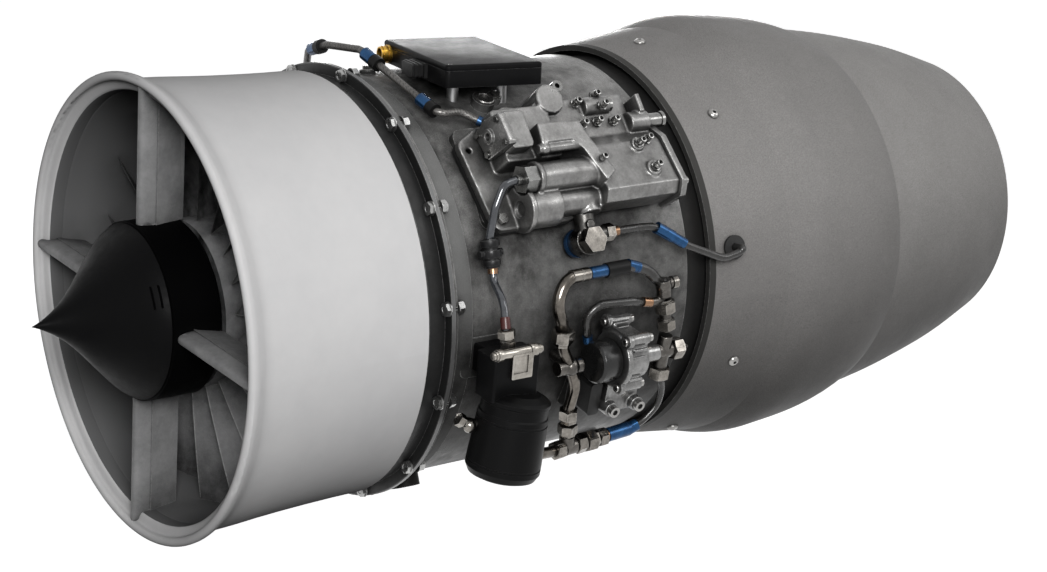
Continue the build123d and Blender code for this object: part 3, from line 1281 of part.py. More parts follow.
CLAMP_Y = 6.5
CLAMP_H = 49.5
with BuildPart() as filter_clamp:
    disc(facing(HEAD_ZONE, -28, CLAMP_Y, CLAMP_H, "aft"), 4.2, 44)
    disc(facing(HEAD_ZONE, -30, CLAMP_Y, CLAMP_H, "aft"), 3.2, 48)
    disc(facing(HEAD_ZONE, -26, CLAMP_Y, CLAMP_H, "aft"), 5.2, 4)
    disc(facing(HEAD_ZONE, 6, CLAMP_Y, CLAMP_H, "aft"), 5.4, 6)
    block(facing(HEAD_ZONE, -3, -4, 51, "out"), 20, 21, 3.4, 1)
    block(facing(HEAD_ZONE, -4.5, -2.5, 53, "out"), 14, 15, 3, mode=Mode.SUBTRACT)
    add(filter_head.part, mode=Mode.SUBTRACT)
filter_clamp.part.label = "filter_clamp"
export_step(filter_clamp.part, "parts/filter_clamp.step")

# The fuel pump: an electric motor, a cast body with four long screws and a foot on a bracket
PUMP_Y = 4.0
PUMP_H = 32.0
MOTOR_R = 18.0
PUMP_END = 62.0
PUMP_LOBES = [(27, 14), (-16, 14), (31, -17), (-16, -17)]
FOOT_SCREWS = [(48, -46), (75, -45)]
with BuildPart() as pump_motor:
    disc(facing(PUMP_ZONE, 17.5, PUMP_Y, PUMP_H, "aft"), MOTOR_R, 18.5)
    chamfer(pump_motor.edges().sort_by(Axis.Y)[0], 2)
    disc(facing(PUMP_ZONE, 36, PUMP_Y, PUMP_H, "aft"), MOTOR_R - 2, 2)
pump_motor.part.label = "pump_motor"
export_step(pump_motor.part, "parts/pump_motor.step")

with BuildPart() as pump_body:
    disc(facing(PUMP_ZONE, 38, PUMP_Y, PUMP_H, "aft"), 24, 5)
    for y, h in PUMP_LOBES:
        disc(facing(PUMP_ZONE, 38, y, PUMP_H + h, "aft"), 6, 5)
        disc(facing(PUMP_ZONE, 44.5, y, PUMP_H + h * 0.9, "aft"), 5, PUMP_END - 44.5)
    block(facing(PUMP_ZONE, 43, PUMP_Y + 2, PUMP_H - 1, "aft"), 40, 36, 1.5)
    block(facing(PUMP_ZONE, 44.5, PUMP_Y + 2, PUMP_H - 1, "aft"), 44, 34, PUMP_END - 46, 5)
    disc(facing(PUMP_ZONE, 44, PUMP_Y, PUMP_H, "aft"), 19, PUMP_END - 42)
    for rib in (-9, -2, 5, 12, 19):
        block(facing(PUMP_ZONE, 53, rib, PUMP_H + 14, "out"), 14, 2.6, 4.6)
    disc(facing(PUMP_ZONE, PUMP_END - 2, 0, 28, "aft"), 8, 30)
    block(facing(PUMP_ZONE, 61, -34, 14, "out"), 34, 36, 14, 3)
    for x, y in FOOT_SCREWS:
        disc(facing(PUMP_ZONE, x, y, 14, "out"), 6.5, 20)
        disc(facing(PUMP_ZONE, x, y, 0, "out"), 2.5 + FIT, 40, mode=Mode.SUBTRACT)
    for y, h in PUMP_LOBES:
        disc(facing(PUMP_ZONE, 37, y, PUMP_H + h * 0.9, "aft"), 2 + FIT, 60, mode=Mode.SUBTRACT)
        disc(facing(PUMP_ZONE, PUMP_END, y, PUMP_H + h * 0.9, "aft"), 4.2, 30, mode=Mode.SUBTRACT)
pump_body.part.label = "pump_body"
export_step(pump_body.part, "parts/pump_body.step")

with BuildPart() as pump_screws:
    for y, h in PUMP_LOBES:
        disc(facing(PUMP_ZONE, 38.2, y, PUMP_H + h * 0.9, "aft"), 2, PUMP_END - 38)
        disc(facing(PUMP_ZONE, PUMP_END, y, PUMP_H + h * 0.9, "aft"), 3.6, 3.4)
    for x, y in FOOT_SCREWS:
        disc(facing(PUMP_ZONE, x, y, 3, "out"), 2.5, 32)
        disc(facing(PUMP_ZONE, x, y, 34, "out"), 4.8, 5)
        disc(facing(PUMP_ZONE, x, y, 36, "out"), 2.5, 5, mode=Mode.SUBTRACT)
pump_screws.part.label = "pump_screws"
export_step(pump_screws.part, "parts/pump_screws.step")

with BuildPart() as pump_bracket:
    block(facing(PUMP_ZONE, 55, -37, PAD_HEIGHT, "out"), 52, 36, 5, 2)
    block(facing(PUMP_ZONE, 61, -37, 5, "out"), 30, 28, 9, 2)
    block(facing(PUMP_ZONE, 35, -38, 5, "out"), 12, 30, 20, 3)
    for x, y in FOOT_SCREWS:
        disc(facing(PUMP_ZONE, x, y, 3, "out"), 2.5, 20, mode=Mode.SUBTRACT)
pump_bracket.part.label = "pump_bracket"
export_step(pump_bracket.part, "parts/pump_bracket.step")

# The fuel pipework, each route given in the pump's zone
STACK = [
    at(PUMP_ZONE, -15, 36, 27),
    at(PUMP_ZONE, -14, 22, 27),
    at(PUMP_ZONE, -2, 2, 28),
    at(PUMP_ZONE, 8, -18, 28),
    at(PUMP_ZONE, 5, -40, 28),
    at(PUMP_ZONE, 9.5, -77.5, 29.4),
]
MAIN_RUN = [
    at(PUMP_ZONE, -52, -65, 38),
    at(PUMP_ZONE, -24, -73, 36),
    at(PUMP_ZONE, -6, -77.5, 30.5),
    at(PUMP_ZONE, 82, -76, 24),
]
COLUMN = [at(PUMP_ZONE, 98, 0, 28), at(PUMP_ZONE, 98, 22, 26), at(PUMP_ZONE, 90, 63, 20)]
UPPER_LOOP = [
    at(PUMP_ZONE, -15, 36, 27),
    at(PUMP_ZONE, -21, 60, 19),
    at(PUMP_ZONE, -10, 78, 13),
    at(PUMP_ZONE, 12, 78, 12),
    at(PUMP_ZONE, 58, 79, 12),
    at(PUMP_ZONE, 74, 74, 14),
    at(PUMP_ZONE, 86, 63, 19),
]
SECOND_HOSE = [
    at(PUMP_ZONE, 79, 46, 21.5),
    at(PUMP_ZONE, 58, 50, 21),
    at(PUMP_ZONE, 24, 51, 19),
    at(PUMP_ZONE, 14, 40, 18),
    at(PUMP_ZONE, 20, PUMP_Y + 13, PUMP_H - 12.7),
]
LOWER_HOSE = [
    at(PUMP_ZONE, 82, -76, 24),
    at(PUMP_ZONE, 94, -72, 24),
    at(PUMP_ZONE, 109, -58, 24),
    at(PUMP_ZONE, 109, -40, 25),
    at(PUMP_ZONE, 100, -24, 28),
]
with BuildPart() as fuel_pipes:
    pipe(STACK, 5, 26)
    pipe(MAIN_RUN, 4.8, 30)
    add(filter_canister.part, mode=Mode.SUBTRACT)
fuel_pipes.part.label = "fuel_pipes"
export_step(fuel_pipes.part, "parts/fuel_pipes.step")

with BuildPart() as loop_hoses:
    pipe(UPPER_LOOP, 3.8, 30)
    pipe(SECOND_HOSE, 2.6, 20)
    pipe(LOWER_HOSE, 2.7, 26)
    add(fuel_pipes.part, mode=Mode.SUBTRACT)
    add(pump_motor.part, mode=Mode.SUBTRACT)
loop_hoses.part.label = "loop_hoses"
export_step(loop_hoses.part, "parts/loop_hoses.step")

# Tees, the cross, the ball and the two elbows that join the pipes
with BuildPart() as pipe_fittings:
    with Locations(STACK[2]):
        Sphere(8)
    disc(facing(PUMP_ZONE, -2, 2, 28, "aft"), 6.4, 11)
    disc(facing(PUMP_ZONE, -2, 2, 28, "front"), 6.4, 14)
    disc(facing(PUMP_ZONE, -2, 2, 28, "in"), 5, 24)
    sleeve(STACK[4], STACK[5], 26, 12, 6.6)
    sleeve(MAIN_RUN[2], MAIN_RUN[3], 12, 12, 7)
    disc(facing(PUMP_ZONE, 90, 0, 28, "aft"), 6.6, 20)
    disc(facing(PUMP_ZONE, 98, -16, 28, "up"), 6.2, 31)
    sleeve(COLUMN[1], COLUMN[2], -4, 26, 5)
    sleeve(COLUMN[1], COLUMN[2], 29, 15, 6.4)
    with Locations(along(COLUMN[1], COLUMN[2], 38).origin):
        Sphere(7)
    disc(facing(PUMP_ZONE, 91, 61, 20.3, "aft"), 4.6, 9)
    disc(facing(PUMP_ZONE, 79, 46, 21.5, "aft"), 4, 13)
    add(fuel_pipes.part, mode=Mode.SUBTRACT)
    add(loop_hoses.part, mode=Mode.SUBTRACT)
pipe_fittings.part.label = "pipe_fittings"
export_step(pipe_fittings.part, "parts/pipe_fittings.step")

# The bright hexagon nuts of the pipework and of the outlet
with BuildPart() as pipe_nuts:
    hexagon(along(STACK[0], STACK[1], -1), 15, 9)
    hexagon(along(STACK[0], STACK[1], 9), 12.5, 3)
    hexagon(along(STACK[4], STACK[5], 0), 13, 12)
    hexagon(along(STACK[4], STACK[5], 15), 12, 10)
    hexagon(along(MAIN_RUN[2], MAIN_RUN[3], 2), 13, 8)
    hexagon(along(MAIN_RUN[2], MAIN_RUN[3], 26), 13, 8)
    hexagon(along(MAIN_RUN[2], MAIN_RUN[3], 36), 14.5, 12)
    hexagon(along(MAIN_RUN[2], MAIN_RUN[3], 50), 12.5, 8)
    hexagon(facing(PUMP_ZONE, 107, 0, 28, "aft"), 15, 8)
    spun(facing(PUMP_ZONE, 115, 0, 28, "aft"), (0, 0), (4.5, 0), (4.5, 5), (1.5, 10), (0, 10))
    hexagon(facing(PUMP_ZONE, 98, -16, 28, "down"), 14, 10)
    hexagon(along(COLUMN[1], COLUMN[2], -1), 13, 8)
    hexagon(along(COLUMN[1], COLUMN[2], 15), 14, 10)
    disc(facing(PUMP_ZONE, 99, 61, 20.3, "aft"), 5.6, 5)
    hexagon(facing(OUTLET_ZONE, -9, -10, 23, "out"), 20, 10)
    hexagon(facing(OUTLET_ZONE, 12, -5, 17, "aft"), 13, 8)
    sleeve(along(at(FILTER_ZONE, -47, -3, 40), at(FILTER_ZONE, -58, -1, 37)).origin, at(FILTER_ZONE, -62, 1, 36), 0, 13, 4.6)
    with Locations(at(FILTER_ZONE, -54, -3, 39)):
        Sphere(6)
    hexagon(along(at(FILTER_ZONE, -56, -2, 38), at(FILTER_ZONE, -66, 4, 34), 5), 10, 5)
    hexagon(facing(HEAD_ZONE, -7, 6, 38, "up"), 11, 7)
    for other in (fuel_pipes, loop_hoses, pipe_fittings, outlet_elbow, outlet_hose, sense_tubes, filter_canister, filter_head):
        add(other.part, mode=Mode.SUBTRACT)
pipe_nuts.part.label = "pipe_nuts"
export_step(pipe_nuts.part, "parts/pipe_nuts.step")

# Copper rings, blue bands and black sleeves, each cut by the pipe that it sits on
with BuildPart() as copper_rings:
    sleeve(OUTLET_HOSE[0], OUTLET_HOSE[1], FIT, 6, 4.4)
    sleeve(SECOND_HOSE[0], SECOND_HOSE[1], FIT, 9, 4.2)
    sleeve(SENSE_LOWER[0], SENSE_LOWER[1], FIT, 5, 4.4)
    sleeve(MAIN_RUN[2], MAIN_RUN[3], 58.5, 2.5, 5.6)
    for other in (outlet_hose, loop_hoses, sense_tubes, fuel_pipes, pipe_fittings, pipe_nuts, sense_union):
        add(other.part, mode=Mode.SUBTRACT)
copper_rings.part.label = "copper_rings"
export_step(copper_rings.part, "parts/copper_rings.step")

with BuildPart() as blue_bands:
    sleeve(CONDUIT[2], CONDUIT[3], 8, 12, 5.7)
    sleeve(CONDUIT[4], CONDUIT[5], 7, 12, 5.7)
    sleeve(CONDUIT[4], CONDUIT[5], 86, 12, 5.7)
    sleeve(CONDUIT[6], CONDUIT[7], 16, 9, 4.4)
    sleeve(OUTLET_HOSE[2], OUTLET_HOSE[3], 3, 18, 5.4)
    sleeve(OUTLET_HOSE[2], OUTLET_HOSE[3], 21, 14, 4.7)
    sleeve(UPPER_LOOP[3], UPPER_LOOP[4], 2, 17, 5.2)
    sleeve(UPPER_LOOP[4], UPPER_LOOP[5], -4, 12, 4.9)
    sleeve(SECOND_HOSE[4], SECOND_HOSE[3], 0, 6, 4.2)
    sleeve(MAIN_RUN[2], MAIN_RUN[3], 61, 25, 6.2)
    sleeve(LOWER_HOSE[0], LOWER_HOSE[1], -2, 9, 5.4)
    disc(facing(OUTLET_ZONE, -11, -10, 6, "out"), 12, 3)
    for other in (
        wiring_conduit, outlet_hose, loop_hoses, fuel_pipes, copper_rings, pump_motor,
        fuel_control_covers, fuel_control_body,
    ):
        add(other.part, mode=Mode.SUBTRACT)
blue_bands.part.label = "blue_bands"
export_step(blue_bands.part, "parts/blue_bands.step")

with BuildPart() as black_sleeves:
    for start, setback, length in ((2, 21, 8), (4, 20, 8), (4, 98.5, 8)):
        sleeve(CONDUIT[start], CONDUIT[start + 1], setback, length, 6.2)
    sleeve(UPPER_LOOP[3], UPPER_LOOP[4], 19, 22, 6.2)
    disc(skin_zone(126, 224, 0), 6, 5)
    for other in (wiring_conduit, loop_hoses, blue_bands):
        add(other.part, mode=Mode.SUBTRACT)
black_sleeves.part.label = "black_sleeves"
export_step(black_sleeves.part, "parts/black_sleeves.step")
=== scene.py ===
"""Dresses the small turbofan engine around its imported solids.

The solids keep their places. This script gives each one its finish, adds the fine
pieces that stand on them, and sets the camera, the pale floor and the soft light.
All lengths are in metres in the engine's own frame: Y runs aft, Z is up, and the
origin is the centre of the nozzle's exit.
"""

from __future__ import annotations

import json
import logging
import math
from contextlib import contextmanager
from dataclasses import dataclass, field, replace
from enum import Enum
from typing import Callable, Iterator, Sequence

import bmesh
import bpy
from mathutils import Matrix, Vector

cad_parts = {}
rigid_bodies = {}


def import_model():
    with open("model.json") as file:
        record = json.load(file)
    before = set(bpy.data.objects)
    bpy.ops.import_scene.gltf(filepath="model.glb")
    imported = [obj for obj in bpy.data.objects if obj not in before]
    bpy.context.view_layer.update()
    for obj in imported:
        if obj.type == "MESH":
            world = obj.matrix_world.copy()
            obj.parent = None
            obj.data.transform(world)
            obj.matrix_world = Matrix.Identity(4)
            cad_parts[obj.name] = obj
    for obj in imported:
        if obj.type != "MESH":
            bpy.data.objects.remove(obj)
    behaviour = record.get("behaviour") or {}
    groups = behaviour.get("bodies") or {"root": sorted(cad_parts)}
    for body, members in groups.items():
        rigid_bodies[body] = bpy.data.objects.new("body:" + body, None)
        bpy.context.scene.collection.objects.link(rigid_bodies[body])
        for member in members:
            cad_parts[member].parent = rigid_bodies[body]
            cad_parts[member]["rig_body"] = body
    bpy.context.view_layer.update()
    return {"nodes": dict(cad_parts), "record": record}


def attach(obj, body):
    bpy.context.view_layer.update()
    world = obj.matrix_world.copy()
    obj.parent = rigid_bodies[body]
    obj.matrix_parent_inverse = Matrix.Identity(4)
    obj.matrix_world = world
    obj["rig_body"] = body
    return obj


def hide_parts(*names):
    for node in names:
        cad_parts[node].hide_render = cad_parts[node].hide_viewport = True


LOG = logging.getLogger("engine")

Colour = tuple[float, float, float]
Spot = tuple[float, float, float]

MILLI = 1000.0  # millimetres in a metre
EXIT_STATION = 0.893  # metres from the intake lip to the nozzle's exit
CASING_R = 0.1755  # the bare casing's radius in metres


def y_at(station: float) -> float:
    """Gives the frame's Y of a station, in metres behind the intake lip."""
    return station - EXIT_STATION


class Grain(Enum):
    """The fine marks that a finish carries."""

    SPUN = "spun"
    CAST = "cast"
    PAINT = "paint"
    BRAID = "braid"
    PLAIN = "plain"


class WearAndHighlight(Enum):
    """How much the edges of a finish are worn bright and given a painted highlight."""

    NONE = 0.0
    LIGHT = 0.35
    WORKED = 0.8


# ---------------------------------------------------------------- shader groups


@dataclass
class NodeSheet:
    """A node tree under construction, with short calls for adding nodes."""

    tree: bpy.types.NodeTree
    column: int = 0

    def add(self, kind: str, **settings: object) -> bpy.types.Node:
        """Adds a node and sets its properties.

        Args:
            kind: the node's type name.
            **settings: properties of the node.

        Returns:
            The new node.
        """
        node = self.tree.nodes.new(kind)
        self.column += 1
        node.location = (self.column * 170.0, -(self.column % 4) * 190.0)
        for key, value in settings.items():
            setattr(node, key, value)
        return node

    def feed(self, socket: bpy.types.NodeSocket, value: object) -> None:
        """Links a socket from another socket, or sets its default value."""
        if isinstance(value, bpy.types.NodeSocket):
            self.tree.links.new(value, socket)
        else:
            socket.default_value = value

    def maths(
        self, operation: str, first: object, second: object = 0.0, clamp: bool = False
    ) -> bpy.types.NodeSocket:
        """Adds a Math node.

        Args:
            operation: the operation's name.
            first: a socket or a number.
            second: a socket or a number.
            clamp: whether the result is kept between 0 and 1.

        Returns:
            The result's socket.
        """
        node = self.add("ShaderNodeMath", operation=operation, use_clamp=clamp)
        self.feed(node.inputs[0], first)
        self.feed(node.inputs[1], second)
        return node.outputs[0]

    def spread(
        self, value: object, low: object, high: object, to_low: object = 0.0, to_high: object = 1.0
    ) -> bpy.types.NodeSocket:
        """Maps a value from one range to another, clamped at its ends."""
        node = self.add("ShaderNodeMapRange", clamp=True)
        for socket, given in zip(node.inputs, (value, low, high, to_low, to_high)):
            self.feed(socket, given)
        return node.outputs[0]

    def blend(self, share: object, first: object, second: object) -> bpy.types.NodeSocket:
        """Mixes two colours by a share and returns the mixed colour."""
        node = self.add("ShaderNodeMix", data_type="RGBA")
        self.feed(node.inputs[0], share)
        self.feed(node.inputs[6], first)
        self.feed(node.inputs[7], second)
        return node.outputs[2]

    def noise(
        self, vector: object, scale: object, detail: float = 3.0, rough: float = 0.55
    ) -> bpy.types.NodeSocket:
        """Adds a noise texture and returns its value."""
        node = self.add("ShaderNodeTexNoise")
        self.feed(node.inputs["Vector"], vector)
        self.feed(node.inputs["Scale"], scale)
        node.inputs["Detail"].default_value = detail
        node.inputs["Roughness"].default_value = rough
        return node.outputs["Fac"]

    def product(self, *values: object, clamp: bool = False) -> bpy.types.NodeSocket:
        """Multiplies values in turn, and clamps the last product where asked."""
        result = values[0]
        for place, value in enumerate(values[1:], start=2):
            result = self.maths("MULTIPLY", result, value, clamp and place == len(values))
        return result

    def split(self, vector: object) -> tuple[bpy.types.NodeSocket, ...]:
        """Gives a vector's X, Y and Z."""
        node = self.add("ShaderNodeSeparateXYZ")
        self.feed(node.inputs[0], vector)
        return tuple(node.outputs)

    def distance(self, first: object, second: object) -> bpy.types.NodeSocket:
        """Gives a distance from its lengths along two axes."""
        total = self.maths("ADD", self.product(first, first), self.product(second, second))
        return self.maths("SQRT", total)


def grey(level: float) -> tuple[float, float, float, float]:
    """Gives an opaque grey."""
    return level, level, level, 1.0


def empty_sheet(owner: bpy.types.Material | bpy.types.World) -> NodeSheet:
    """Turns on the nodes of a material or a world and gives its empty tree."""
    owner.use_nodes = True
    owner.node_tree.nodes.clear()
    return NodeSheet(owner.node_tree)


def new_group(
    name: str, inputs: dict[str, tuple[str, object]], outputs: dict[str, str]
) -> tuple[NodeSheet, bpy.types.Node, bpy.types.Node]:
    """Makes an empty shader node group.

    Args:
        name: the group's name.
        inputs: each input's name with its socket type and default value.
        outputs: each output's name with its socket type.

    Returns:
        The sheet to build on, the group's input node and its output node.
    """
    tree = bpy.data.node_groups.new(name, "ShaderNodeTree")
    for key, (kind, default) in inputs.items():
        socket = tree.interface.new_socket(name=key, in_out="INPUT", socket_type=kind)
        if default is not None:
            socket.default_value = default
    for key, kind in outputs.items():
        tree.interface.new_socket(name=key, in_out="OUTPUT", socket_type=kind)
    sheet = NodeSheet(tree)
    return sheet, sheet.add("NodeGroupInput"), sheet.add("NodeGroupOutput")


FLOAT = "NodeSocketFloat"
VECTOR = "NodeSocketVector"
POINT = {"Point": (VECTOR, None)}
MASK = {"Mask": FLOAT}


@dataclass
class EffectGroups:
    """The shader effects that the finishes share, each built once."""

    spun: bpy.types.NodeTree = field(init=False)
    mottle: bpy.types.NodeTree = field(init=False)
    cast: bpy.types.NodeTree = field(init=False)
    rubbed_and_highlit: bpy.types.NodeTree = field(init=False)
    oiled: bpy.types.NodeTree = field(init=False)
    soiled: bpy.types.NodeTree = field(init=False)
    braid: bpy.types.NodeTree = field(init=False)
    band: bpy.types.NodeTree = field(init=False)

    def __post_init__(self) -> None:
        """Builds every group."""
        self.spun = self._spun()
        self.mottle = self._mottle()
        self.cast = self._cast()
        self.rubbed_and_highlit = self._rubbed_and_highlit()
        self.soiled = self._soiled()
        self.braid = self._braid()
        self.band = self._band()
        self.oiled = self._oiled()

    def _spun(self) -> bpy.types.NodeTree:
        """Fine tool lines that run round the engine's axis."""
        sheet, given, result = new_group(
            "spun lines",
            {**POINT, "Fineness": (FLOAT, 900.0), "Length": (FLOAT, 0.04)},
            {"Line": FLOAT},
        )
        skin_radius = 0.18
        x, y, z = sheet.split(given.outputs["Point"])
        turn = sheet.product(sheet.maths("ARCTAN2", z, x), skin_radius)
        fine = sheet.add("ShaderNodeCombineXYZ")
        sheet.feed(fine.inputs[0], y)
        sheet.feed(fine.inputs[1], sheet.product(turn, given.outputs["Length"]))
        sheet.feed(fine.inputs[2], sheet.distance(x, z))
        line = sheet.noise(fine.outputs[0], given.outputs["Fineness"], 4.0, 0.65)
        sheet.feed(result.inputs["Line"], line)
        return sheet.tree

    def _mottle(self) -> bpy.types.NodeTree:
        """Cloudy patches in two sizes, and fine specks."""
        sheet, given, result = new_group(
            "mottled patches", {**POINT, "Size": (FLOAT, 0.05)}, {"Patch": FLOAT, "Speck": FLOAT}
        )
        large_share, small_share, smaller, specks_a_metre = 0.65, 0.35, 5.3, 1500.0
        point = given.outputs["Point"]
        rate = sheet.maths("DIVIDE", 1.0, given.outputs["Size"])
        large = sheet.noise(point, rate, 5.0, 0.6)
        small = sheet.noise(point, sheet.product(rate, smaller), 6.0, 0.65)
        both = sheet.maths(
            "ADD", sheet.product(large, large_share), sheet.product(small, small_share)
        )
        sheet.feed(result.inputs["Patch"], sheet.spread(both, 0.36, 0.64))
        sheet.feed(result.inputs["Speck"], sheet.noise(point, specks_a_metre, 3.0, 0.7))
        return sheet.tree

    def _cast(self) -> bpy.types.NodeTree:
        """The skin of a sand casting: fine grains on wide, low lumps."""
        sheet, given, result = new_group(
            "cast skin", {**POINT, "Grain": (FLOAT, 0.0007)}, {"Height": FLOAT}
        )
        lump_rate, lump_height = 0.12, 1.6
        point = given.outputs["Point"]
        rate = sheet.maths("DIVIDE", 1.0, given.outputs["Grain"])
        grains = sheet.noise(point, rate, 3.0, 0.6)
        lumps = sheet.noise(point, sheet.product(rate, lump_rate), 4.0, 0.6)
        height = sheet.maths("ADD", grains, sheet.product(lumps, lump_height))
        sheet.feed(result.inputs["Height"], height)
        return sheet.tree

    def _rubbed_and_highlit(self) -> bpy.types.NodeTree:
        """A mask of edges that stand out, worn bright and given a painted highlight."""
        sheet, given, result = new_group(
            "rubbed edges", {**POINT, "Reach": (FLOAT, 0.0008), "Amount": (FLOAT, 0.5)}, MASK
        )
        flat_facing, edge_facing, breaks_a_metre = 0.995, 0.86, 320.0
        rounded = sheet.add("ShaderNodeBevel", samples=6)
        sheet.feed(rounded.inputs["Radius"], given.outputs["Reach"])
        plain = sheet.add("ShaderNodeNewGeometry")
        dot = sheet.add("ShaderNodeVectorMath", operation="DOT_PRODUCT")
        sheet.feed(dot.inputs[0], rounded.outputs[0])
        sheet.feed(dot.inputs[1], plain.outputs["Normal"])
        edge = sheet.spread(dot.outputs["Value"], flat_facing, edge_facing)
        noise = sheet.noise(given.outputs["Point"], breaks_a_metre, 4.0, 0.7)
        broken = sheet.spread(noise, 0.35, 0.6)
        mask = sheet.product(edge, broken, given.outputs["Amount"], clamp=True)
        sheet.feed(result.inputs["Mask"], mask)
        return sheet.tree

    def _soiled(self) -> bpy.types.NodeTree:
        """A mask of corners and crevices, darkened by dirt and by painted shade."""
        sheet, given, result = new_group(
            "soiled corners", {**POINT, "Reach": (FLOAT, 0.012), "Amount": (FLOAT, 0.5)}, MASK
        )
        open_light, corner_light, patches_a_metre = 0.92, 0.42, 60.0
        # Occlusion darkens corners and crevices: dirt, and painted shade where shade falls.
        shade = sheet.add("ShaderNodeAmbientOcclusion", samples=6)
        sheet.feed(shade.inputs["Distance"], given.outputs["Reach"])
        corner = sheet.spread(shade.outputs["AO"], open_light, corner_light)
        noise = sheet.noise(given.outputs["Point"], patches_a_metre, 4.0, 0.6)
        patchy = sheet.spread(noise, 0.2, 0.7, 0.55, 1.0)
        mask = sheet.product(corner, patchy, given.outputs["Amount"], clamp=True)
        sheet.feed(result.inputs["Mask"], mask)
        return sheet.tree

    def _oiled(self) -> bpy.types.NodeTree:
        """A mask that darkens the underside towards the bottom, as painted shade."""
        sheet, given, result = new_group(
            "painted underside shade",
            {**POINT, "Top": (FLOAT, 0.09), "Bottom": (FLOAT, -0.14), "Amount": (FLOAT, 0.5)},
            MASK,
        )
        streaks_a_metre = 14.0
        point, top, bottom = (given.outputs[key] for key in ("Point", "Top", "Bottom"))
        depth = sheet.maths("SUBTRACT", top, sheet.split(point)[2])
        share = sheet.maths("DIVIDE", depth, sheet.maths("SUBTRACT", top, bottom), clamp=True)
        # Streaks break up the painted shade.
        runs = sheet.spread(sheet.noise(point, streaks_a_metre, 3.0, 0.5), 0.3, 0.7, 0.85, 1.1)
        mask = sheet.product(share, runs, given.outputs["Amount"], clamp=True)
        sheet.feed(result.inputs["Mask"], mask)
        return sheet.tree

    def _braid(self) -> bpy.types.NodeTree:
        """The woven cover of a hose: two families of crossing strands."""
        sheet, given, result = new_group(
            "woven cover", {**POINT, "Strand": (FLOAT, 0.0011)}, {"Height": FLOAT}
        )
        rate = sheet.maths("DIVIDE", math.pi, given.outputs["Strand"])
        x, y, z = sheet.split(given.outputs["Point"])
        strands = []
        for operation in ("ADD", "SUBTRACT"):
            across = sheet.maths(operation, sheet.maths(operation, y, z), x)
            strands.append(sheet.maths("SINE", sheet.product(across, rate)))
        sheet.feed(result.inputs["Height"], sheet.maths("MAXIMUM", *strands))
        return sheet.tree

    def _band(self) -> bpy.types.NodeTree:
        """A mask of the skin between two radii and two places along the axis."""
        limits = {
            "Inner": (FLOAT, 0.0), "Outer": (FLOAT, 1.0),
            "Front": (FLOAT, -1.0), "Rear": (FLOAT, 1.0),
        }
        sheet, given, result = new_group("turned band", {**POINT, **limits}, MASK)
        x, y, z = sheet.split(given.outputs["Point"])
        radius = sheet.distance(x, z)
        inner, outer, front, rear = (given.outputs[key] for key in limits)
        pairs = ((radius, inner), (outer, radius), (y, front), (rear, y))
        mask = sheet.product(*(sheet.maths("GREATER_THAN", *pair) for pair in pairs))
        sheet.feed(result.inputs["Mask"], mask)
        return sheet.tree


# ---------------------------------------------------------------- finishes


@dataclass(frozen=True)
class Band:
    """A ring of a finish that is machined or painted otherwise; some rings carry a painted
    highlight or painted shade.

    Attributes:
        inner: its least radius.
        outer: its greatest radius.
        front: the station where it starts.
        rear: the station where it ends.
        colour: its colour.
        rough: its roughness.
    """

    inner: float
    outer: float
    front: float
    rear: float
    colour: Colour
    rough: float


BLACK = grey(0.0)
WHITE = grey(1.0)
# The colour of dirt and of painted shade in corners.
DIRT_AND_SHADE = grey(0.004)
# The colour of the painted shade on the underside.
UNDERSIDE_SHADE = (0.006, 0.0055, 0.005, 1.0)


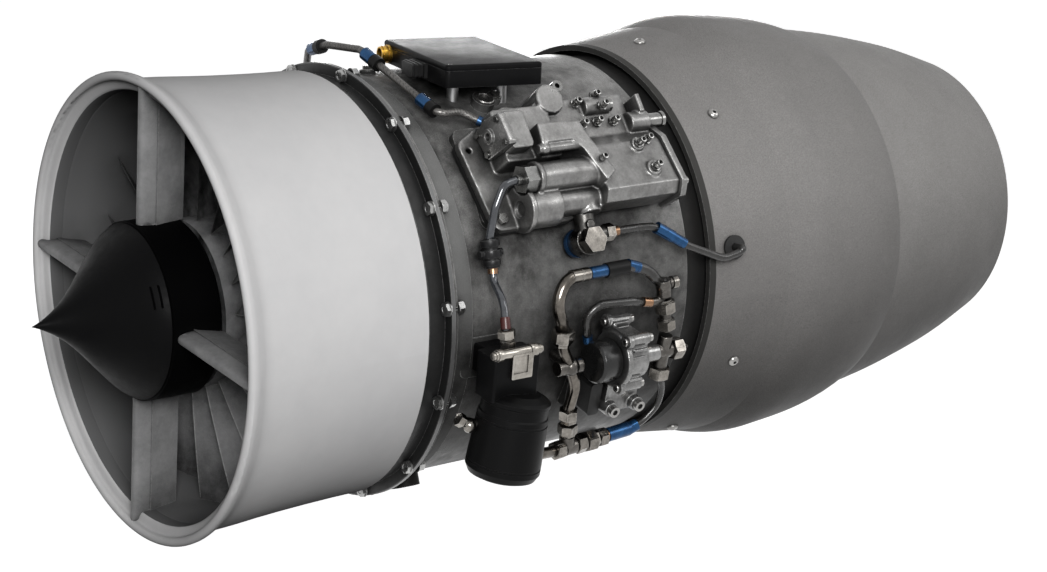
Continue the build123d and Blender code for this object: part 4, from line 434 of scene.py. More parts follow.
@dataclass(frozen=True)
class Finish:
    """One surface finish and the marks that it carries.

    Attributes:
        name: the material's name.
        colour: the main colour.
        second: the colour of its patches.
        metallic: 1 for bare metal, 0 for paint, rubber and plastic.
        rough: the roughness in the middle of its range.
        rough_spread: how far patches move the roughness.
        grain: the fine marks on the surface.
        grain_size: the size of those marks in metres, or lines per metre.
        bump: the depth of the marks, in metres.
        patch: the size of the patches in metres.
        wear: how much the edges are worn and given a painted highlight.
        bright: the colour of a worn edge, with its painted highlight.
        soil: how dark the corners are, with dirt and painted shade.
        coat: the weight of a clear coat.
        soil_reach: how far from a corner its dirt and painted shade reach, in metres.
        oiled: how dark the painted shade on the underside is.
        wear_reach: how wide a worn, highlit edge is, in metres.
        specular: the strength of the reflection on paint, rubber and plastic.
        speckle: how far fine specks darken the colour.
        bands: rings that are machined otherwise.
        coat_rough: the roughness of the clear coat.
        line_rough: how far tool lines move the roughness.
        soil_rough: how much rougher a soiled corner is.
    """

    name: str
    colour: Colour
    second: Colour
    metallic: float = 1.0
    rough: float = 0.4
    rough_spread: float = 0.1
    grain: Grain = Grain.PLAIN
    grain_size: float = 0.0007
    bump: float = 0.00004
    patch: float = 0.04
    wear: WearAndHighlight = WearAndHighlight.NONE
    bright: Colour = (0.55, 0.55, 0.54)
    soil: float = 0.5
    coat: float = 0.0
    soil_reach: float = 0.012
    oiled: float = 0.0
    wear_reach: float = 0.0008
    specular: float = 0.5
    speckle: float = 0.0
    bands: tuple[Band, ...] = ()
    coat_rough: float = 0.12
    line_rough: float = 0.06
    soil_rough: float = 0.25

    def like(self, name: str, colour: Colour, second: Colour, **changes: object) -> Finish:
        """Gives a finish of the same family.

        Args:
            name: the material's name.
            colour: the main colour.
            second: the colour of its patches.
            **changes: the values that differ from this finish's own.

        Returns:
            The new finish.
        """
        return replace(self, name=name, colour=colour, second=second, **changes)

    def build(self, groups: EffectGroups) -> bpy.types.Material:
        """Builds the material.

        Args:
            groups: the shared effect groups.

        Returns:
            The finished material.
        """
        material = bpy.data.materials.new(self.name)
        sheet = empty_sheet(material)
        point = sheet.add("ShaderNodeTexCoord").outputs["Object"]
        shader = sheet.add("ShaderNodeBsdfPrincipled")
        output = sheet.add("ShaderNodeOutputMaterial")
        sheet.feed(output.inputs[0], shader.outputs[0])

        def effect(group: bpy.types.NodeTree, **values: float) -> bpy.types.NodeOutputs:
            """Places a shared group with this finish's own values."""
            node = sheet.add("ShaderNodeGroup", node_tree=group)
            sheet.feed(node.inputs["Point"], point)
            for key, value in values.items():
                node.inputs[key].default_value = value
            return node.outputs

        patches = effect(groups.mottle, Size=self.patch)
        colour = sheet.blend(patches["Patch"], (*self.colour, 1.0), (*self.second, 1.0))
        smooth, matt = self.rough - self.rough_spread, self.rough + self.rough_spread
        rough = sheet.spread(patches["Patch"], 0.0, 1.0, smooth, matt)
        if self.speckle > 0.0:
            dark = sheet.spread(patches["Speck"], 0.35, 0.68, self.speckle, 0.0)
            colour = sheet.blend(dark, colour, BLACK)
        for band in self.bands:
            places = {"Front": y_at(band.front), "Rear": y_at(band.rear)}
            mask = effect(groups.band, Inner=band.inner, Outer=band.outer, **places)["Mask"]
            colour = sheet.blend(mask, colour, (*band.colour, 1.0))
            rough = sheet.spread(mask, 0.0, 1.0, rough, band.rough)
        height = None
        if self.grain is Grain.SPUN:
            height = effect(groups.spun, Fineness=self.grain_size)["Line"]
            lines = sheet.spread(height, 0.3, 0.7, -self.line_rough, self.line_rough)
            rough = sheet.maths("ADD", rough, lines)
        elif self.grain is Grain.CAST:
            height = effect(groups.cast, Grain=self.grain_size)["Height"]
        elif self.grain is Grain.PAINT:
            height = patches["Speck"]
        elif self.grain is Grain.BRAID:
            height = effect(groups.braid, Strand=self.grain_size)["Height"]
            # The gaps between the strands are darkened as painted shade.
            colour = sheet.blend(sheet.spread(height, -0.2, 0.9, 0.55, 0.0), colour, BLACK)
        # Corners darken with dirt and with painted shade.
        if self.soil > 0.0:
            soiled = effect(groups.soiled, Amount=self.soil, Reach=self.soil_reach)["Mask"]
            colour = sheet.blend(soiled, colour, DIRT_AND_SHADE)
            rough = sheet.maths("ADD", rough, sheet.product(soiled, self.soil_rough), clamp=True)
        # The underside is darker towards the bottom: painted shade.
        if self.oiled > 0.0:
            colour = sheet.blend(effect(groups.oiled, Amount=self.oiled)["Mask"], colour, UNDERSIDE_SHADE)
        metallic: object = self.metallic
        # Edges take the bright colour: worn metal with a painted highlight.
        if self.wear is not WearAndHighlight.NONE:
            rubbed_and_highlit = effect(groups.rubbed_and_highlit, Amount=self.wear.value, Reach=self.wear_reach)["Mask"]
            colour = sheet.blend(rubbed_and_highlit, colour, (*self.bright, 1.0))
            if self.metallic < 1.0:
                metallic = sheet.spread(rubbed_and_highlit, 0.0, 1.0, self.metallic, 1.0)
        if height is not None:
            bump = sheet.add("ShaderNodeBump")
            bump.inputs["Strength"].default_value = 1.0
            bump.inputs["Distance"].default_value = self.bump
            sheet.feed(bump.inputs["Height"], height)
            sheet.feed(shader.inputs["Normal"], bump.outputs[0])
        for key, value in {
            "Base Color": colour, "Roughness": rough, "Metallic": metallic,
            "Specular IOR Level": self.specular,
            "Coat Weight": self.coat, "Coat Roughness": self.coat_rough,
        }.items():
            sheet.feed(shader.inputs[key], value)
        return material


PAINTED = Finish(
    "paint", (0.006, 0.006, 0.006), (0.004, 0.004, 0.004), metallic=0.0, grain=Grain.PAINT
)
SKIN = Finish(
    "spun skin", (0.4, 0.4, 0.4), (0.35, 0.35, 0.35),
    metallic=0.0, rough=0.42, rough_spread=0.03, grain=Grain.SPUN, soil_reach=0.03,
)
CASTING = Finish(
    "casting", (0.3, 0.3, 0.3), (0.15, 0.15, 0.15),
    metallic=0.85, grain=Grain.CAST, wear=WearAndHighlight.WORKED, soil=1.0,
)
# A family with worn edges that carry a painted highlight, and corners with dirt and painted shade.
RUBBED_AND_HIGHLIT = Finish(
    "rubbed metal", (0.3, 0.3, 0.3), (0.17, 0.17, 0.17), wear=WearAndHighlight.LIGHT, soil=1.0
)
TURNED = Finish("turned metal", (0.6, 0.6, 0.6), (0.45, 0.45, 0.45), grain=Grain.SPUN)

FINISHES: dict[str, Finish] = {
    "intake_skin": SKIN.like(
        "spun aluminium", (0.585, 0.58, 0.58), (0.54, 0.537, 0.54),
        grain_size=1500.0, bump=0.000006, patch=0.09, specular=0.0,
        bands=(
            # The duct's inner wall, darkened as painted shade inside the duct.
            Band(0.0, 0.1798, 0.01, 0.2, (0.115, 0.115, 0.116), 0.5),
        ),
    ),
    "strut_silver": CASTING.like(
        "strut aluminium", (0.25, 0.25, 0.25), (0.17, 0.17, 0.172),
        metallic=0.1, rough=0.45, grain_size=0.0012, bump=0.00003, patch=0.022, wear=WearAndHighlight.LIGHT,
        soil_reach=0.04, specular=0.15,
    ),
    "hub_black": PAINTED.like(
        "hub paint", (0.0012, 0.0012, 0.0013), (0.0008, 0.0008, 0.0009),
        rough=0.55, bump=0.00003, patch=0.02, soil=0.4, specular=0.02,
    ),
    "cone_black": PAINTED.like(
        "cone paint", (0.0036, 0.0036, 0.0038), (0.0026, 0.0026, 0.0028),
        rough=0.45, patch=0.03, soil=0.0, specular=0.04,
    ),
    "fan_metal": CASTING.like(
        "fan blade metal", (0.4, 0.4, 0.403), (0.27, 0.27, 0.274),
        metallic=0.0, rough=0.42, grain_size=0.002, bump=0.00002, patch=0.03, wear=WearAndHighlight.LIGHT,
        soil_reach=0.06, oiled=0.4, specular=0.1,
    ),
    "vane_metal": Finish(
        "vane metal", (0.2, 0.2, 0.2), (0.12, 0.12, 0.12),
        metallic=0.6, rough=0.45, patch=0.03, soil=0.6,
    ),
    "fan_case_dark": CASTING.like(
        "fan case metal", (0.04, 0.04, 0.04), (0.018, 0.018, 0.018),
        metallic=0.5, rough=0.34, grain=Grain.SPUN, grain_size=1800.0, bump=0.00001, patch=0.05,
        bright=(0.42, 0.42, 0.42), soil=0.8, soil_reach=0.02, specular=0.3,
        bands=(
            Band(0.1868, 0.2, 0.17, 0.194, (0.13, 0.13, 0.13), 0.32),
        ),
    ),
    "casing_metal": CASTING.like(
        "casing metal", (0.4, 0.396, 0.388), (0.085, 0.084, 0.082),
        metallic=0.1, rough=0.34, grain=Grain.SPUN, grain_size=900.0, bump=0.00002, patch=0.055,
        bright=(0.45, 0.45, 0.44), soil_reach=0.07, oiled=1.0, specular=0.08, speckle=0.45,
        bands=(
            # The flange's machined rim, brightened near white as a painted highlight.
            Band(0.1868, 0.2, 0.189, 0.196, (0.95, 0.95, 0.945), 0.26),
            Band(0.1762, 0.1795, 0.1935, 0.216, (0.19, 0.19, 0.187), 0.45),
        ),
    ),
    "bolt_steel": RUBBED_AND_HIGHLIT.like(
        "bolt zinc", (0.46, 0.46, 0.453), (0.3, 0.3, 0.296),
        metallic=0.95, rough=0.25, patch=0.012, bright=(0.8, 0.8, 0.8), soil_reach=0.01,
    ),
    "screw_steel": RUBBED_AND_HIGHLIT.like(
        "screw steel", (0.38, 0.374, 0.361), (0.22, 0.214, 0.208),
        metallic=0.95, rough=0.26, patch=0.01,
    ),
    "core_steel": TURNED.like(
        "core steel", (0.42, 0.42, 0.42), (0.3, 0.3, 0.3),
        rough=0.35, soil=0.4,
    ),
    "hot_steel": TURNED.like(
        "heat tinted steel", (0.36, 0.3, 0.24), (0.22, 0.19, 0.18),
        patch=0.06, soil=0.4,
    ),
    "bearing_steel": TURNED.like(
        "ground steel", (0.62, 0.62, 0.63), (0.55, 0.55, 0.56),
        rough=0.2, rough_spread=0.04, grain_size=2500.0, bump=0.000005, soil=0.3,
    ),
    "recess_dark": PAINTED.like(
        "recess paint", (0.01, 0.0095, 0.009), (0.006, 0.006, 0.006),
        rough=0.55, soil=0.6, specular=0.2,
    ),
    "cowl_metal": SKIN.like(
        "cowl metal", (0.325, 0.315, 0.307), (0.3, 0.291, 0.284),
        grain_size=900.0, bump=0.00001, patch=0.045, wear=WearAndHighlight.LIGHT, soil=0.7, oiled=0.62,
        specular=0.03, speckle=0.5,
        bands=(
            Band(0.165, 0.2, 0.455, 0.4685, (0.05, 0.049, 0.047), 0.4),
        ),
    ),
    "nozzle_metal": SKIN.like(
        "nozzle metal", (0.395, 0.384, 0.374), (0.357, 0.347, 0.338),
        grain_size=900.0, bump=0.00001, patch=0.045, wear=WearAndHighlight.LIGHT, soil=0.7, oiled=0.62,
        specular=0.03, speckle=0.5,
    ),
    "grommet_dark": PAINTED.like(
        "grommet rubber", (0.02, 0.02, 0.02), (0.012, 0.012, 0.012),
        rough=0.5, specular=0.3,
    ),
    "box_black": PAINTED.like(
        "box paint", (0.0065, 0.0065, 0.0068), (0.0045, 0.0045, 0.0048),
        rough=0.38, rough_spread=0.05, bump=0.00003, patch=0.02, wear=WearAndHighlight.LIGHT,
        bright=(0.22, 0.22, 0.22), soil=0.4, specular=0.05,
    ),
    "standoff_metal": TURNED.like(
        "turned aluminium", (0.6, 0.6, 0.6), (0.45, 0.45, 0.45),
        rough=0.3, soil=0.7,
    ),
    "connector_gold": RUBBED_AND_HIGHLIT.like(
        "gold passivated metal", (0.62, 0.36, 0.05), (0.42, 0.24, 0.035),
        rough=0.3, patch=0.006, bright=(0.85, 0.65, 0.25), soil=0.85,
    ),
    "plug_black": PAINTED.like(
        "plug plastic", (0.006, 0.006, 0.0063), (0.0045, 0.0045, 0.0045),
        soil=0.4, specular=0.25,
    ),
    "conduit_grey": Finish(
        "conduit cover", (0.15, 0.144, 0.137), (0.085, 0.081, 0.077),
        metallic=0.5, rough=0.34, grain=Grain.BRAID, grain_size=0.0014, bump=0.00006, patch=0.02,
        soil=0.85,
    ),
    "anodised_blue": PAINTED.like(
        "blue anodising", (0.015, 0.078, 0.195), (0.006, 0.034, 0.095),
        metallic=0.75, rough=0.22, patch=0.008, soil=0.9, coat=0.1,
    ),
    "sleeve_black": PAINTED.like(
        "sleeve plastic", (0.005, 0.005, 0.005), (0.0035, 0.0035, 0.0035),
        rough=0.42, specular=0.14,
    ),
    "gasket_black": PAINTED.like(
        "gasket rubber", (0.007, 0.007, 0.007), (0.005, 0.005, 0.005),
        rough=0.6, soil=0.4, specular=0.25,
    ),
    "cast_metal": CASTING.like(
        "cast aluminium", (0.3, 0.297, 0.291), (0.15, 0.148, 0.145),
        rough=0.32, rough_spread=0.07, grain_size=0.0016, bump=0.0001, patch=0.014,
        bright=(0.8, 0.8, 0.79), soil_reach=0.026, wear_reach=0.0016, speckle=0.12,
    ),
    "cover_metal": CASTING.like(
        "machined casting", (0.32, 0.317, 0.311), (0.17, 0.168, 0.165),
        rough=0.29, rough_spread=0.07, grain_size=0.0012, bump=0.00005, patch=0.014,
        bright=(0.82, 0.82, 0.81), soil_reach=0.02, wear_reach=0.0012, speckle=0.1,
    ),
    "fitting_nickel": RUBBED_AND_HIGHLIT.like(
        "bright nickel", (0.3, 0.298, 0.29), (0.17, 0.169, 0.165),
        rough=0.2, patch=0.008, soil_reach=0.008,
    ),
    "gland_nickel": RUBBED_AND_HIGHLIT.like(
        "satin nickel", (0.27, 0.27, 0.263), (0.15, 0.15, 0.147),
        rough=0.24, patch=0.014, bright=(0.75, 0.75, 0.74),
    ),
    "elbow_metal": CASTING.like(
        "dark elbow metal", (0.11, 0.106, 0.101), (0.05, 0.049, 0.046),
        metallic=1.0, rough=0.3, grain_size=0.0014, bump=0.00006, patch=0.014, wear_reach=0.0014,
    ),
    "hose_black": Finish(
        "hose cover", (0.03, 0.0285, 0.027), (0.014, 0.0135, 0.013),
        metallic=0.4, rough=0.26, grain=Grain.BRAID, grain_size=0.001, patch=0.015, soil=0.7,
        coat=0.4,
    ),
    "sense_clear": Finish(
        "clear tube", (0.05, 0.055, 0.064), (0.02, 0.022, 0.027),
        metallic=0.3, rough=0.09, rough_spread=0.03, patch=0.01, soil=0.8, coat=0.8,
    ),
    "union_black": RUBBED_AND_HIGHLIT.like(
        "union paint", (0.007, 0.007, 0.0074), (0.0045, 0.0045, 0.0049),
        metallic=0.0, rough=0.34, patch=0.006, bright=(0.3, 0.3, 0.3), soil=0.6, specular=0.22,
    ),
    "copper": Finish(
        "copper", (0.32, 0.19, 0.115), (0.19, 0.11, 0.068),
        rough=0.25, patch=0.008, soil=0.9,
    ),
    "canister_black": PAINTED.like(
        "canister paint", (0.0022, 0.0022, 0.0023), (0.0015, 0.0015, 0.0016),
        rough=0.38, rough_spread=0.04, patch=0.03, wear=WearAndHighlight.LIGHT, bright=(0.06, 0.06, 0.06),
        soil=0.4, specular=0.09,
    ),
    "head_black": PAINTED.like(
        "head paint", (0.0036, 0.0036, 0.0038), (0.0024, 0.0024, 0.0026),
        patch=0.015, wear=WearAndHighlight.LIGHT, bright=(0.14, 0.14, 0.14), specular=0.07,
    ),
    "clamp_nickel": RUBBED_AND_HIGHLIT.like(
        "warm nickel", (0.42, 0.395, 0.358), (0.24, 0.224, 0.2),
        rough=0.2, patch=0.016, bright=(0.85, 0.82, 0.77),
    ),
    "motor_black": RUBBED_AND_HIGHLIT.like(
        "motor paint", (0.008, 0.008, 0.008), (0.0055, 0.0055, 0.0055),
        metallic=0.0, rough=0.28, patch=0.02, bright=(0.3, 0.3, 0.3), soil=0.4, coat=0.15,
        specular=0.35,
    ),
    "pump_metal": CASTING.like(
        "pump casting", (0.3, 0.298, 0.294), (0.14, 0.139, 0.137),
        rough=0.27, grain_size=0.0012, bump=0.00005, patch=0.012, bright=(0.8, 0.8, 0.8),
        soil_reach=0.016, wear_reach=0.0012, speckle=0.1,
    ),
    "bracket_black": PAINTED.like(
        "bracket paint", (0.0065, 0.0065, 0.0065), (0.0045, 0.0045, 0.0045),
        rough=0.42, patch=0.02, specular=0.3,
    ),
    "nut_nickel": RUBBED_AND_HIGHLIT.like(
        "nut nickel", (0.28, 0.262, 0.238), (0.11, 0.102, 0.092),
        rough=0.18, patch=0.01, bright=(0.9, 0.88, 0.84),
    ),
    "pipe_metal": RUBBED_AND_HIGHLIT.like(
        "pipe nickel", (0.17, 0.154, 0.136), (0.065, 0.059, 0.052),
        rough=0.2, patch=0.014, soil_reach=0.02,
    ),
    "tee_metal": RUBBED_AND_HIGHLIT.like(
        "fitting dark nickel", (0.135, 0.126, 0.116), (0.07, 0.066, 0.061),
        rough=0.26, patch=0.014, bright=(0.5, 0.48, 0.45), soil_reach=0.014,
    ),
    "red_sleeve": Finish(
        "red sleeve", (0.07, 0.012, 0.01), (0.035, 0.006, 0.005),
        metallic=0.0, rough=0.3, patch=0.008, soil=0.8, specular=0.4,
    ),
}


# ---------------------------------------------------------------- small shapes


@dataclass(frozen=True)
class Ring:
    """One ring of a turned or hexagonal piece.

    Attributes:
        radius: its radius, or half its width across the flats.
        height: its height along the piece's axis.
        hexagon: whether it follows a hexagon.
        drop: how far a hexagon's corners fall, for each unit that they stand out.
    """

    radius: float
    height: float
    hexagon: bool = False
    drop: float = 0.0


CHAMFER = 0.577  # how far a hexagon's chamfer falls, for each unit outward
RING_STEPS = 36  # points in each ring
SIXTH = math.pi / 3  # a hexagon's side, seen from its middle


def union_nut(half_width: float, length: float) -> list[Ring]:
    """Gives the rings of a pipe nut with both ends chamfered, in millimetres.

    Args:
        half_width: half its width across the flats.
        length: the length of its hexagon.

    Returns:
        The rings from its foot to its top.
    """
    return [
        Ring(half_width * 0.72, -0.4), Ring(half_width * 0.9, -0.4),
        Ring(half_width, 0.0, True, -CHAMFER), Ring(half_width, length, True, CHAMFER),
        Ring(half_width * 0.9, length), Ring(half_width * 0.88, length + 0.5),
        Ring(half_width * 0.74, length + 0.6), Ring(half_width * 0.72, length + 1.6),
        Ring(half_width * 0.6, length + 1.8),
    ]


def ringed_mesh(name: str, rings: Sequence[Ring]) -> bpy.types.Mesh:
    """Makes a closed mesh from rings along Z, in millimetres.

    Args:
        name: the mesh's name.
        rings: the rings from one end to the other.

    Returns:
        The mesh, in metres.
    """
    shape = bmesh.new()
    loops = []
    for ring in rings:
        loop = []
        for step in range(RING_STEPS):
            angle = 2.0 * math.pi * step / RING_STEPS
            reach = ring.radius
            if ring.hexagon:
                reach /= math.cos((angle + SIXTH / 2) % SIXTH - SIXTH / 2)
            height = ring.height - ring.drop * (reach - ring.radius)
            spot = (reach * math.cos(angle), reach * math.sin(angle), height)
            loop.append(shape.verts.new([part / MILLI for part in spot]))
        loops.append(loop)
    for lower, upper in zip(loops, loops[1:]):
        for step in range(RING_STEPS):
            after = (step + 1) % RING_STEPS
            shape.faces.new((lower[step], lower[after], upper[after], upper[step]))
    shape.faces.new(list(reversed(loops[0])))
    shape.faces.new(loops[-1])
    bmesh.ops.recalc_face_normals(shape, faces=shape.faces)
    mesh = bpy.data.meshes.new(name)
    shape.to_mesh(mesh)
    shape.free()
    mesh.shade_smooth()
    mesh.set_sharp_from_angle(angle=math.radians(30.0))
    return mesh


def placed(name: str, data: bpy.types.ID) -> bpy.types.Object:
    """Makes an object of some data and links it to the scene."""
    made = bpy.data.objects.new(name, data)
    bpy.context.scene.collection.objects.link(made)
    return made


def made_real(piece: bpy.types.Object) -> bpy.types.Mesh:
    """Gives an object's mesh with its modifiers made real."""
    return bpy.data.meshes.new_from_object(
        piece.evaluated_get(bpy.context.evaluated_depsgraph_get())
    )


@contextmanager
def opened(mesh: bpy.types.Mesh) -> Iterator[bmesh.types.BMesh]:
    """Opens a mesh for changes and writes it back at the end."""
    shape = bmesh.new()
    shape.from_mesh(mesh)
    yield shape
    shape.to_mesh(mesh)
    shape.free()


@dataclass(frozen=True)
class Zone:
    """A place on the casing's skin, with axes that run aft, up the clock and outward.

    Attributes:
        clock: degrees from +X towards +Z.
        station: millimetres behind the intake lip.
    """

    clock: float
    station: float

    def axes(self) -> tuple[Vector, Vector, Vector]:
        """Gives the aft, up and out directions."""
        angle = math.radians(self.clock)
        up = Vector((-math.sin(angle), 0, math.cos(angle)))
        return Vector((0, 1, 0)), up, Vector((math.cos(angle), 0, math.sin(angle)))

    def out(self) -> Vector:
        """Gives the outward direction."""
        return self.axes()[2]

    def at(self, aft: float, up: float, out: float) -> Vector:
        """Gives a point in metres from distances in millimetres."""
        along, rise, away = self.axes()
        foot = along * aft + rise * up + away * (CASING_R * MILLI + out)
        spot = foot + Vector((0, self.station, 0))
        return spot / MILLI - Vector((0, EXIT_STATION, 0))

    def read(self, point: Vector) -> Spot:
        """Gives a point's distances aft, up and out in millimetres."""
        apart = point - self.at(0.0, 0.0, 0.0)
        return tuple(apart.dot(axis) * MILLI for axis in self.axes())


CONTROL_ZONE = Zone(41, 250)
PUMP_ZONE = Zone(-8, 300)
HEAD_ZONE = Zone(0, 230)


# ---------------------------------------------------------------- repeats


ALONG_Y = (0.0, 1.0, 0.0)
ALONG_Z = (0.0, 0.0, 1.0)


def open_tree(
    name: str, inputs: dict[str, str]
) -> tuple[NodeSheet, bpy.types.Node, bpy.types.Node]:
    """Starts a tree of Geometry Nodes.

    Args:
        name: the tree's name.
        inputs: each input's name with its socket type.

    Returns:
        The sheet to build on, the input node and the output node.
    """
    tree = bpy.data.node_groups.new(name, "GeometryNodeTree")
    for key, kind in inputs.items():
        tree.interface.new_socket(name=key, in_out="INPUT", socket_type=kind)
    tree.interface.new_socket(name="Pieces", in_out="OUTPUT", socket_type="NodeSocketGeometry")
    sheet = NodeSheet(tree)
    return sheet, sheet.add("NodeGroupInput"), sheet.add("NodeGroupOutput")


@dataclass
class Repeats:
    """The trees of Geometry Nodes that set one small piece many times."""

    ring: bpy.types.NodeTree = field(init=False)
    spots: bpy.types.NodeTree = field(init=False)

    def __post_init__(self) -> None:
        """Builds both trees."""
        self.ring = self._ring()
        self.spots = self._spots()

    def _place(
        self, sheet: NodeSheet, given: bpy.types.Node, result: bpy.types.Node, points: object,
        turn: object,
    ) -> None:
        """Sets the piece on the points, makes it real and gives it its finish."""
        piece = sheet.add("GeometryNodeObjectInfo", transform_space="ORIGINAL")
        sheet.feed(piece.inputs["Object"], given.outputs["Piece"])
        sheet.feed(piece.inputs["As Instance"], True)
        copies = sheet.add("GeometryNodeInstanceOnPoints")
        sheet.feed(copies.inputs["Points"], points)
        sheet.feed(copies.inputs["Instance"], piece.outputs["Geometry"])
        sheet.feed(copies.inputs["Rotation"], turn)
        real = sheet.add("GeometryNodeRealizeInstances")
        sheet.feed(real.inputs[0], copies.outputs[0])
        dressed = sheet.add("GeometryNodeSetMaterial")
        sheet.feed(dressed.inputs["Geometry"], real.outputs[0])
        sheet.feed(dressed.inputs["Material"], given.outputs["Finish"])
        sheet.feed(result.inputs[0], dressed.outputs[0])

    def _turn(self, sheet: NodeSheet, axis: Spot, angle: object) -> bpy.types.NodeSocket:
        """Adds a rotation about an axis."""
        node = sheet.add("FunctionNodeAxisAngleToRotation")
        sheet.feed(node.inputs["Axis"], axis)
        sheet.feed(node.inputs["Angle"], angle)
        return node.outputs[0]

    def _after(
        self, sheet: NodeSheet, first: bpy.types.NodeSocket, second: bpy.types.NodeSocket
    ) -> bpy.types.NodeSocket:
        """Adds a second rotation in the first one's own axes."""
        node = sheet.add("FunctionNodeRotateRotation", rotation_space="LOCAL")
        sheet.feed(node.inputs[0], first)
        sheet.feed(node.inputs[1], second)
        return node.outputs[0]

    def _ring(self) -> bpy.types.NodeTree:
        """Pieces in a ring about the engine's axis, tilted aft or forward."""
        sheet, given, result = open_tree(
            "pieces in a ring",
            {
                "Piece": "NodeSocketObject", "Count": "NodeSocketInt", "Radius": FLOAT,
                "Along": FLOAT, "Phase": FLOAT, "Tilt": FLOAT, "Left out": "NodeSocketInt",
                "Finish": "NodeSocketMaterial",
            },
        )
        index = sheet.add("GeometryNodeInputIndex").outputs[0]
        step = sheet.maths("DIVIDE", 2.0 * math.pi, given.outputs["Count"])
        angle = sheet.maths("ADD", given.outputs["Phase"], sheet.product(index, step))
        radius = given.outputs["Radius"]
        spot = sheet.add("ShaderNodeCombineXYZ")
        sheet.feed(spot.inputs[0], sheet.product(sheet.maths("COSINE", angle), radius))
        sheet.feed(spot.inputs[1], given.outputs["Along"])
        sheet.feed(spot.inputs[2], sheet.product(sheet.maths("SINE", angle), radius))
        points = sheet.add("GeometryNodePoints")
        sheet.feed(points.inputs["Count"], given.outputs["Count"])
        sheet.feed(points.inputs["Position"], spot.outputs[0])
        left_out = sheet.add("FunctionNodeCompare", data_type="INT", operation="EQUAL")
        sheet.feed(left_out.inputs[2], index)
        sheet.feed(left_out.inputs[3], given.outputs["Left out"])
        kept = sheet.add("GeometryNodeDeleteGeometry", domain="POINT")
        sheet.feed(kept.inputs[0], points.outputs[0])
        sheet.feed(kept.inputs[1], left_out.outputs[0])
        x, _, z = sheet.split(sheet.add("GeometryNodeInputPosition").outputs[0])
        clock = sheet.maths("ARCTAN2", z, x)
        turn = self._turn(sheet, ALONG_Y, sheet.product(clock, -1.0))
        turn = self._after(sheet, turn, self._turn(sheet, ALONG_Z, given.outputs["Tilt"]))
        turn = self._after(sheet, turn, self._turn(sheet, ALONG_Y, math.pi / 2))
        self._place(sheet, given, result, kept.outputs[0], turn)
        return sheet.tree

    def _spots(self) -> bpy.types.NodeTree:
        """Pieces on marked spots, each facing its spot's own way and turned at random."""
        sheet, given, result = open_tree(
            "pieces on spots",
            {
                "Spots": "NodeSocketGeometry", "Piece": "NodeSocketObject", "Most turn": FLOAT,
                "Seed": "NodeSocketInt", "Finish": "NodeSocketMaterial",
            },
        )
        points = sheet.add("GeometryNodeMeshToPoints")
        sheet.feed(points.inputs["Mesh"], given.outputs["Spots"])
        mark = sheet.add("GeometryNodeInputNamedAttribute", data_type="FLOAT_VECTOR")
        sheet.feed(mark.inputs["Name"], "facing")
        faced = sheet.add("FunctionNodeAlignRotationToVector", axis="Z")
        sheet.feed(faced.inputs["Vector"], mark.outputs[0])
        chance = sheet.add("FunctionNodeRandomValue", data_type="FLOAT")
        sheet.feed(chance.inputs[3], given.outputs["Most turn"])
        sheet.feed(chance.inputs["Seed"], given.outputs["Seed"])
        turn = self._after(sheet, faced.outputs[0], self._turn(sheet, ALONG_Z, chance.outputs[1]))
        self._place(sheet, given, result, points.outputs[0], turn)
        return sheet.tree


